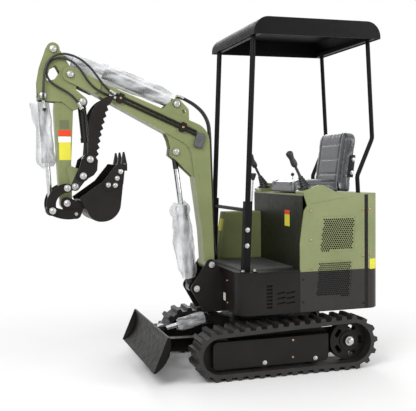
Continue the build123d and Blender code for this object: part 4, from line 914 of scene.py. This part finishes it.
fitting = hose_fitting("fitting")
pipe_ends = [
    stand(at(976, 70, 1752), (50, 7, 28)), stand(at(976, 70, 1727), (56, 5, 21)),
    stand(at(566, 16, 1756), (-58, 0, -23)), stand(at(566, -16, 1756), (-58, 0, -23)),
]
dress(spread(fitting, "boom_fittings", pipe_ends), zinc, "boom")
cylinder_ends = [stand(at(1415.3, 80, 1660), (1, 6, 46)), stand(at(1186, 76, 1657), (28, 6, 46))]
dress(spread(fitting, "stick_fittings", cylinder_ends), zinc, "stick")
discard(fitting)


# Plates, patches and trim

def worked_block(name, size, place, round_edge, rows=0):
    """A block with softened edges. Size in millimetres, place is its frame."""
    block = fresh(bpy.ops.mesh.primitive_cube_add, name, size=1)
    block.scale = [value / 1000 for value in size]
    settle(block)
    choose(block, "EDGE", lambda first, last: True)
    bpy.ops.mesh.bevel(offset=round_edge / 1000, segments=3)
    if rows:
        bpy.ops.mesh.select_all(action="SELECT")
        bpy.ops.mesh.subdivide(number_cuts=rows)
    close(block)
    block.matrix_world = place
    settle(block)
    smooth(block, 40)
    return block


def tilted(x, y, z, turn):
    """A frame at a point of the machine, turned about the machine's width."""
    return Matrix.Translation(at(x, y, z)) @ Matrix.Rotation(math.radians(turn), 4, "Y")


def blank_patch(name, finish, node, middle, normal, width, height, body):
    """A plain coloured patch laid on a node's face."""
    normal = Vector(normal).normalized()
    up = (UP - normal * normal.dot(UP)).normalized()
    turn = Matrix((up.cross(normal), up, normal)).transposed().to_4x4()
    patch = fresh(bpy.ops.mesh.primitive_grid_add, name, x_subdivisions=8, y_subdivisions=8, size=1)
    patch.scale = (width / 1000, height / 1000, 1)
    settle(patch)
    patch.matrix_world = Matrix.Translation(middle) @ turn
    settle(patch)
    apply_modifier(patch, "SHRINKWRAP", target=nodes[node], wrap_mode="ABOVE_SURFACE", offset=0.0003)
    apply_modifier(patch, "SOLIDIFY", thickness=0.0006, offset=1)
    dress(patch, finish, body)


red_film = painted("red_film", shade(206, 66, 42), shade(220, 78, 52), gloss=(0.4, 0.5), shine=0.15)
white_film = painted("white_film", shade(226, 224, 220), shade(238, 236, 232), gloss=(0.3, 0.4))
yellow_film = painted("yellow_film", shade(206, 198, 62), shade(218, 211, 76), gloss=(0.5, 0.6), shine=0.1)
grey_film = painted("grey_film", shade(92, 98, 66), shade(102, 108, 74), gloss=(0.4, 0.5))
# A matte black that stands in for the shade inside the house behind the vent holes: painted shade.
painted_shade_black = moulded("painted_shade_black", shade(8, 8, 8), shade(14, 14, 14), (0.8, 0.95), 300, 0.3)
guard_rubber = moulded("guard_rubber", shade(66, 67, 70), shade(88, 89, 92), (0.5, 0.65), 500, 0.3)

blank_patch("stick_patch_grey", grey_film, "stick", at(1291, 46, 1563), LEFT, 58, 54, "stick")
blank_patch("stick_patch_red", red_film, "stick", at(1290, 46, 1510), LEFT, 76, 39, "stick")
blank_patch("stick_patch_white", white_film, "stick", at(1291, 46, 1472), LEFT, 76, 35, "stick")
blank_patch("stick_patch_yellow", yellow_film, "stick", at(1290, 46, 1400), LEFT, 71, 108, "stick")
blank_patch("seat_box_patch_red", red_film, "seat_box", at(-122, 186, 995), (1, 0, 0), 80, 28, "house")
blank_patch("seat_box_patch_yellow", yellow_film, "seat_box", at(-122, 186, 942), (1, 0, 0), 80, 76, "house")
blank_patch("tank_patch", yellow_film, "tank_housing", at(155, -356, 886), (336, 0, 56), 82, 86, "house")
blank_patch("rear_patch", yellow_film, "rear_panel", at(-622, 424, 660), (-0.4, 1, 0), 62, 66, "house")
blank_patch("skirt_patch", white_film, "front_skirt", at(300, 142, 458), (1, 0, 0), 44, 50, "house")

guard = worked_block("hose_guard", (58, 25, 96), tilted(437, 73, 1465, -16), 9, 3)
guard_dents = cloud("guard_dents", 0.03)
apply_modifier(guard, "DISPLACE", strength=0.005, mid_level=0.5, texture=guard_dents, texture_coords="LOCAL")
dress(guard, guard_rubber, "boom")

LIP_LENGTH = 100
lip_bar = worked_block("lip_bar", (14, LIP_LENGTH, 4), Matrix.Identity(4), 1)
lip_places = []
for low, high in ((-187, -160), (-114, -23), (23, 114), (160, 187)):
    stretch = Matrix.Diagonal((1, (high - low) / LIP_LENGTH, 1, 1))
    lip_places.append(Matrix.Translation(at(949, (low + high) / 2, 1317)) @ stretch)
dress(spread(lip_bar, "worn_lip", lip_places), bare_edge, "bucket")
discard(lip_bar)

bead = worked_block("bead", (296, 2, 5), Matrix.Identity(4), 0.8)
bead_places = [tilted(-331, side * 424.4, 1079, 8.2) for side in BOTH_SIDES]
dress(spread(bead, "panel_folds", bead_places), olive_paint, "house")
discard(bead)

# Black sheets just inside the side grilles and the skirt vents, standing in for the shade of the house's
# inside: painted shade.
shade_sheet = worked_block("shade_sheet", (300, 4, 560), Matrix.Identity(4), 1.5, 2)
skirt_size = Matrix.Diagonal((0.86, 1, 0.4, 1))
shade_sheet_places = [Matrix.Translation(at(-350, side * 410, 715)) for side in BOTH_SIDES]
shade_sheet_places += [Matrix.Translation(at(40, side * 410, 505)) @ skirt_size for side in BOTH_SIDES]
dress(spread(shade_sheet, "vent_shade_sheets", shade_sheet_places), painted_shade_black, "house")
discard(shade_sheet)

HOLE_PITCH = 0.0142
HOLE_WEB = 0.0034
HOLE_RIM = 0.002
CORNER_CUT = 0.007
SHEET = 0.002


def grille_sheet(name, corners):
    """A sheet with rows of hexagon holes, cut to an outline of the side panel. Corners run round it."""
    ring = [Vector((x / 1000, z / 1000, 0)) for x, z in corners]
    middle = sum(ring, Vector()) / len(ring)
    sides = []
    for first, last in zip(ring, ring[1:] + ring[:1]):
        out = (last - first).cross(UP).normalized()
        sides.append((first, out if out.dot(first - middle) > 0 else -out))
    radius = HOLE_PITCH / math.sqrt(3)
    sheet = fresh(
        bpy.ops.mesh.primitive_circle_add, name, vertices=6, radius=radius, fill_type="NGON",
        location=(min(corner.x for corner in ring), min(corner.y for corner in ring), 0),
    )
    settle(sheet)
    for count, step in (
        (20, (HOLE_PITCH, 0, 0)), (2, (HOLE_PITCH / 2, radius * 1.5, 0)), (11, (0, radius * 3, 0)),
    ):
        apply_modifier(
            sheet, "ARRAY", count=count, use_relative_offset=False, use_constant_offset=True,
            constant_offset_displace=step, use_merge_vertices=True, merge_threshold=0.0005,
        )
    choose(
        sheet, "FACE",
        lambda centre, normal: all((centre - point).dot(out) < -radius - HOLE_RIM for point, out in sides),
    )
    bpy.ops.mesh.inset(thickness=HOLE_WEB / 2, use_individual=True)
    bpy.ops.mesh.delete(type="FACE")
    cuts = list(sides)
    for corner, (before, after) in zip(ring, zip(sides[-1:] + sides[:-1], sides)):
        slant = (before[1] + after[1]).normalized()
        cuts.append((corner - slant * CORNER_CUT, slant))
    for point, out in cuts:
        bpy.ops.mesh.select_all(action="SELECT")
        bpy.ops.mesh.bisect(plane_co=point, plane_no=out, clear_outer=True)
    close(sheet)
    sheet.matrix_world = Matrix.Rotation(math.radians(90), 4, "X")
    settle(sheet)
    apply_modifier(sheet, "SOLIDIFY", thickness=SHEET, offset=0)
    return sheet


upper_sheet = grille_sheet("upper_sheet", ((-264, 976), (-494, 975), (-480, 752), (-236, 745)))
lower_sheet = grille_sheet("lower_sheet", ((-230, 692), (-469, 689), (-452, 454), (-206, 462)))
join(upper_sheet, [lower_sheet])
sheet_places = [Matrix.Translation(at(0, side * 421, 0)) for side in BOTH_SIDES]
grille_sheets = spread(upper_sheet, "grille_sheets", sheet_places)
dress(grille_sheets, panel_paint, "house")
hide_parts("side_grilles")
discard(upper_sheet)

mat_rib = worked_block("mat_rib", (5, 530, 3), Matrix.Identity(4), 1)
rib_places = [Matrix.Translation(at(x, 10, 648.6)) for x in range(-108, 240, 15) if abs(x - 128) > 9]
dress(spread(mat_rib, "mat_ribs", rib_places), mat_rubber, "house")
discard(mat_rib)

foot_plate = worked_block("foot_plate", (27, 44, 7), Matrix.Identity(4), 2)
foot_spots = [(x, y) for x in (264, 188) for y in (397, -397)]
plate_spots = [Matrix.Translation(at(x, y, 645.6)) for x, y in foot_spots]
dress(spread(foot_plate, "post_feet", plate_spots), canopy_paint, "house")
discard(foot_plate)
foot_bolt = hex_bolt("foot_bolt", 0.015, 0.008)
foot_places = [stand(at(x, y, 649), UP) for x, y in foot_spots]
dress(spread(foot_bolt, "post_foot_bolts", foot_places), zinc, "house")
bracket = worked_block("bracket", (26, 5, 150), Matrix.Identity(4), 2)
bracket_places = [tilted(-583, side * 214, 1290, -8) for side in BOTH_SIDES]
dress(spread(bracket, "recliner_brackets", bracket_places), black_paint, "house")
discard(bracket)
recliner_places = [
    stand(at(x, side * 216.4, z), LEFT * side) for x, z in ((-589, 1333), (-577, 1246)) for side in BOTH_SIDES
]
dress(spread(foot_bolt, "recliner_bolts", recliner_places), zinc, "house")
discard(foot_bolt)


RUN, RISE = 0.9237, 0.3831
PIPE_POINTS = (
    (72, 28), (72, 38), (78, 46), (96, 47), (270, 47), (444, 47), (462, 46), (468, 38), (468, 28),
)


def barrel_side(distance, lift):
    """A point beside the stick cylinder, by its distance from the base pin and its height over the axis."""
    x, z = STICK_BARREL_PIN
    return (x + RUN * distance - RISE * lift, 15, z + RISE * distance + RUN * lift)


stick_pipe = tube("stick_pipe", [barrel_side(*point) for point in PIPE_POINTS], 0.011)[0]
dress(stick_pipe, zinc, "stick_barrel")


# Wrapping film round the cylinders

wide_crease = cloud("wide_crease", 0.05)
fine_crease = cloud("fine_crease", 0.022, "HARD_NOISE")
GATHER = 0.45
STEPS = 36


def film_sleeve(name, finish, body, base, tip, rings):
    """Crumpled film round a barrel. A ring is its place along it, half width, half depth and shift."""
    foot, head = on_axis(base), on_axis(tip)
    length = (rings[-1][0] - rings[0][0]) / 1000
    sleeve = fresh(
        bpy.ops.mesh.primitive_cylinder_add, name, vertices=40, radius=1, depth=length,
        end_fill_type="NOTHING", location=(0, 0, length / 2),
    )
    settle(sleeve)
    choose(sleeve, "EDGE", lambda first, last: abs(first.z - last.z) > length / 2)
    bpy.ops.mesh.subdivide(number_cuts=STEPS - 1)
    for step in range(STEPS + 1):
        height = length * step / STEPS
        reach = rings[0][0] + height * 1000
        for before, after in zip(rings, rings[1:]):
            if before[0] <= reach <= after[0] + 0.01:
                share = (reach - before[0]) / (after[0] - before[0])
                share = share * share * (3 - 2 * share)
                size = [low + (high - low) * share for low, high in zip(before[1:], after[1:])]
                break
        choose(sleeve, "VERT", lambda point: abs(point.z - height) < length / STEPS / 4)
        bpy.ops.transform.resize(value=(size[0] / 1000, size[1] / 1000, 1))
        bpy.ops.transform.translate(value=(size[2] / 1000, 0, 0))
    choose(sleeve, "VERT", lambda point: True)
    bpy.ops.transform.resize(value=(1, 1, GATHER), center_override=(0, 0, 0))
    close(sleeve)
    apply_modifier(
        sleeve, "DISPLACE", strength=0.03, mid_level=0.45, texture=wide_crease, texture_coords="LOCAL"
    )
    apply_modifier(sleeve, "SUBSURF", levels=1, render_levels=1)
    apply_modifier(
        sleeve, "DISPLACE", strength=0.0045, mid_level=0.3, texture=fine_crease, texture_coords="LOCAL"
    )
    choose(sleeve, "VERT", lambda point: True)
    bpy.ops.transform.resize(value=(1, 1, 1 / GATHER), center_override=(0, 0, 0))
    close(sleeve)
    axis = (head - foot).normalized()
    side = LEFT.cross(axis)
    turn = Matrix((side, LEFT, axis)).transposed().to_4x4()
    sleeve.matrix_world = Matrix.Translation(foot + axis * rings[0][0] / 1000) @ turn
    settle(sleeve)
    smooth(sleeve, 70)
    dress(sleeve, finish, body)
    return sleeve


film_sleeve(
    "boom_film", upright_film, "boom_barrel", BOOM_BARREL_PIN, BOOM_ROD_PIN,
    (
        (62, 42, 40, 14), (147, 62, 48, 16), (270, 66, 50, 17), (400, 62, 50, 13), (462, 54, 48, 8),
        (504, 68, 58, 12), (526, 62, 56, 8), (546, 38, 38, 0),
    ),
)
film_sleeve(
    "bucket_film", upright_film, "bucket_barrel", BUCKET_BARREL_PIN, BUCKET_ROD_PIN,
    (
        (36, 60, 44, -20), (90, 55, 44, -14), (190, 49, 43, -6), (320, 51, 45, -8), (372, 58, 52, -8),
        (402, 57, 52, -7), (426, 38, 38, 0),
    ),
)
stick_film = film_sleeve(
    "stick_film", level_film, "stick_barrel", STICK_BARREL_PIN, STICK_ROD_PIN,
    (
        (40, 50, 46, -12), (110, 53, 46, -16), (210, 56, 47, -14), (330, 58, 48, -9), (453, 60, 48, -3),
        (560, 48, 44, 4), (650, 40, 40, 7), (700, 40, 40, 7),
    ),
)
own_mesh(stick_film)
film_sleeve(
    "blade_film", level_film, "blade_barrel", BLADE_BARREL_PIN, BLADE_ROD_PIN,
    ((50, 36, 36, 0), (110, 40, 40, 0), (170, 38, 38, 0), (212, 44, 44, 0), (234, 32, 32, 0)),
)
